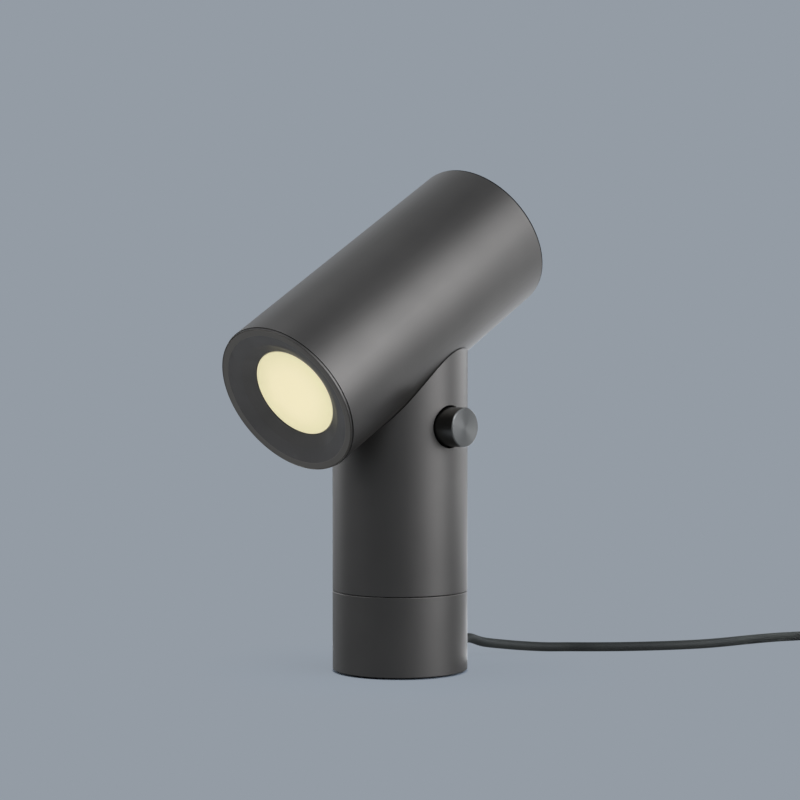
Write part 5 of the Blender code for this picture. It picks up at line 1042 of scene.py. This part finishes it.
# Studio: the lamp stands on a seamless sweep of one cool grey. The camera, and what shines or is clear,
# sees that grey; to matt things the sky is dark and the floor is pale paper under the lights. Close to the
# lamp the floor keeps a trace of its shadow, and under the base it is in full shade.
BACKDROP = "#949ca5"
PAPER = "#e6e6e6"
SWEEP_RADIUS = 4.0
SWEEP_SIDES = 64
SHADE_FADE = 0.04, 0.14
SHADE_SHARE = 0.14
UNDER_EDGE = 0.0372, 0.0382

world = bpy.data.worlds.new("studio")
world.use_nodes = True
scene.world = world
tree = world.node_tree
rays = node(tree, "LightPath", {})
seen = node(tree, "Math", {0: 1.0, 1: rays.outputs["Is Diffuse Ray"]}, operation="SUBTRACT")
node(tree, tree.nodes["Background"], {"Color": linear(BACKDROP), "Strength": seen})

sweep = bpy.data.meshes.new("sweep")
rim = circle(SWEEP_RADIUS, SWEEP_SIDES)
sweep.from_pydata(np.insert(rim, 2, 0, axis=1), [], [list(range(SWEEP_SIDES))])
floor = bpy.data.objects.new("sweep", sweep)
scene.collection.objects.link(floor)
paper = bpy.data.materials.new("seamless_grey_paper")
paper.use_nodes = True
tree = paper.node_tree
tree.nodes.clear()
rays = node(tree, "LightPath", {})
clear = rays.outputs["Is Camera Ray"]
for kind in ("Is Glossy Ray", "Is Transmission Ray"):
    clear = node(tree, "Math", {0: clear, 1: rays.outputs[kind]}, operation="MAXIMUM")
spot = node(tree, "TexCoord", {}).outputs["Object"]
away = node(tree, "VectorMath", {0: spot, 1: (0, 0, 0)}, operation="DISTANCE").outputs[1]
ends = {1: SHADE_FADE[0], 2: SHADE_FADE[1], 3: SHADE_SHARE, 4: 0}
shade = node(tree, "MapRange", {0: away, **ends}, interpolation_type="SMOOTHSTEP")
matt = rays.outputs["Is Diffuse Ray"]
tint = node(tree, "Mix", {0: matt, 6: linear(BACKDROP), 7: linear(PAPER)}, data_type="RGBA")
lit = node(tree, "BsdfDiffuse", {"Color": tint.outputs[2]})
seen = node(tree, "Emission", {"Color": linear(BACKDROP), "Strength": 1.0})
under = node(tree, "MapRange", {0: away, 1: UNDER_EDGE[0], 2: UNDER_EDGE[1], 3: 1, 4: 0})
shade = node(tree, "Math", {0: shade, 1: under}, operation="MAXIMUM")
plain = node(tree, "Math", {0: 1.0, 1: shade}, operation="SUBTRACT")
share = node(tree, "Math", {0: plain, 1: clear}, operation="MULTIPLY")
mixed = node(tree, "MixShader", {0: share, 1: lit, 2: seen})
node(tree, "OutputMaterial", {0: mixed})
sweep.materials.append(paper)

# Light: soft boxes all round, strongest at the lamp's right, weak behind it, and lit cards on the table
# behind it that edge the undersides. They are a little cool, so that the black metal reads neutral. Boxes:
# name, bearing and rise in degrees, width, height, radiance. Cards: name, bearing, distance and the same.
LIGHT_COLOUR = (0.93, 1.0, 1.1)
SOFT_BOXES = (
    ("right_box", 5, 20, 1.1, 1.0, 2.84),
    ("right_low_box", 22, 10, 0.8, 0.8, 4.14),
    ("right_front_box", -12, 38, 0.9, 0.7, 3.74),
    ("right_high_box", 45, 36, 0.9, 0.8, 2.36),
    ("rear_box", 80, 8, 1.2, 0.5, 3.89),
    ("behind_high_box", 135, 60, 1.4, 1.0, 0.15),
    ("left_high_box", 150, 35, 0.8, 0.8, 0.56),
    ("left_box", 180, 12, 0.8, 0.7, 3.80),
    ("front_left_box", -130, 25, 1.0, 0.8, 2.03),
    ("front_high_box", -120, 62, 1.0, 1.0, 2.50),
)
BOX_DISTANCE = 1.5
BOX_AIM = Vector((0, 0, 0.12))
CARD_HEIGHT = 0.002
TABLE_CARDS = (
    ("close_card", 112, 0.16, 0.16, 0.24, 2.6),
    ("near_card", 97, 0.50, 0.8, 0.25, 1.74),
    ("far_card", 97, 0.85, 1.3, 0.6, 1.12),
    ("left_card", 135, 0.85, 0.6, 0.6, 1.29),
)
CORD_SPOT = Vector((0.13, 0, 0.34))
CORD_SPOT_AIM = Vector((0.097, 0.252, 0.003))
CORD_SPOT_CONE = radians(11)
CORD_SPOT_RADIUS = 0.05
CORD_SPOT_WATTS = 40.0


def studio_light(name, kind, watts, place, turn, **settings):
    """A light of the studio's colour, which the camera doesn't see."""
    light = bpy.data.lights.new(name, kind)
    light.energy = watts
    light.color = LIGHT_COLOUR
    for key, value in settings.items():
        setattr(light, key, value)
    lamp = bpy.data.objects.new(name, light)
    lamp.location = place
    lamp.rotation_euler = turn
    lamp.visible_camera = False
    scene.collection.objects.link(lamp)
    return lamp


def soft_box(name, width, tall, radiance, place, turn):
    """A rectangular area light of so many W/m2/sr: pi times its area gives its watts."""
    watts = radiance * pi * width * tall
    return studio_light(name, "AREA", watts, place, turn, shape="RECTANGLE", size=width, size_y=tall)


def facing(towards):
    """The turn of a light that stands in that direction and shines back along it."""
    return towards.to_track_quat("Z", "Y").to_euler()


for name, bearing, rise, width, tall, radiance in SOFT_BOXES:
    level = cos(radians(rise))
    towards = Vector((level * cos(radians(bearing)), level * sin(radians(bearing)), sin(radians(rise))))
    soft_box(name, width, tall, radiance, towards * BOX_DISTANCE + BOX_AIM, facing(towards))

# the cord would catch too much of the cards' light, so they leave it out
shaded = bpy.data.collections.new("shaded_from_the_cards")
shaded.objects.link(cord)
shaded.collection_objects[0].light_linking.link_state = "EXCLUDE"
for name, bearing, away, width, tall, radiance in TABLE_CARDS:
    place = (away * cos(radians(bearing)), away * sin(radians(bearing)), CARD_HEIGHT)
    card = soft_box(name, width, tall, radiance, place, (pi, 0, radians(bearing - 90)))
    card.light_linking.receiver_collection = shaded

# a spot from above on the cord's far stretch, which its coil would otherwise keep in the shade
cone = {"spot_size": CORD_SPOT_CONE, "spot_blend": 1.0, "shadow_soft_size": CORD_SPOT_RADIUS}
studio_light("cord_spot", "SPOT", CORD_SPOT_WATTS, CORD_SPOT, facing(CORD_SPOT - CORD_SPOT_AIM), **cone)
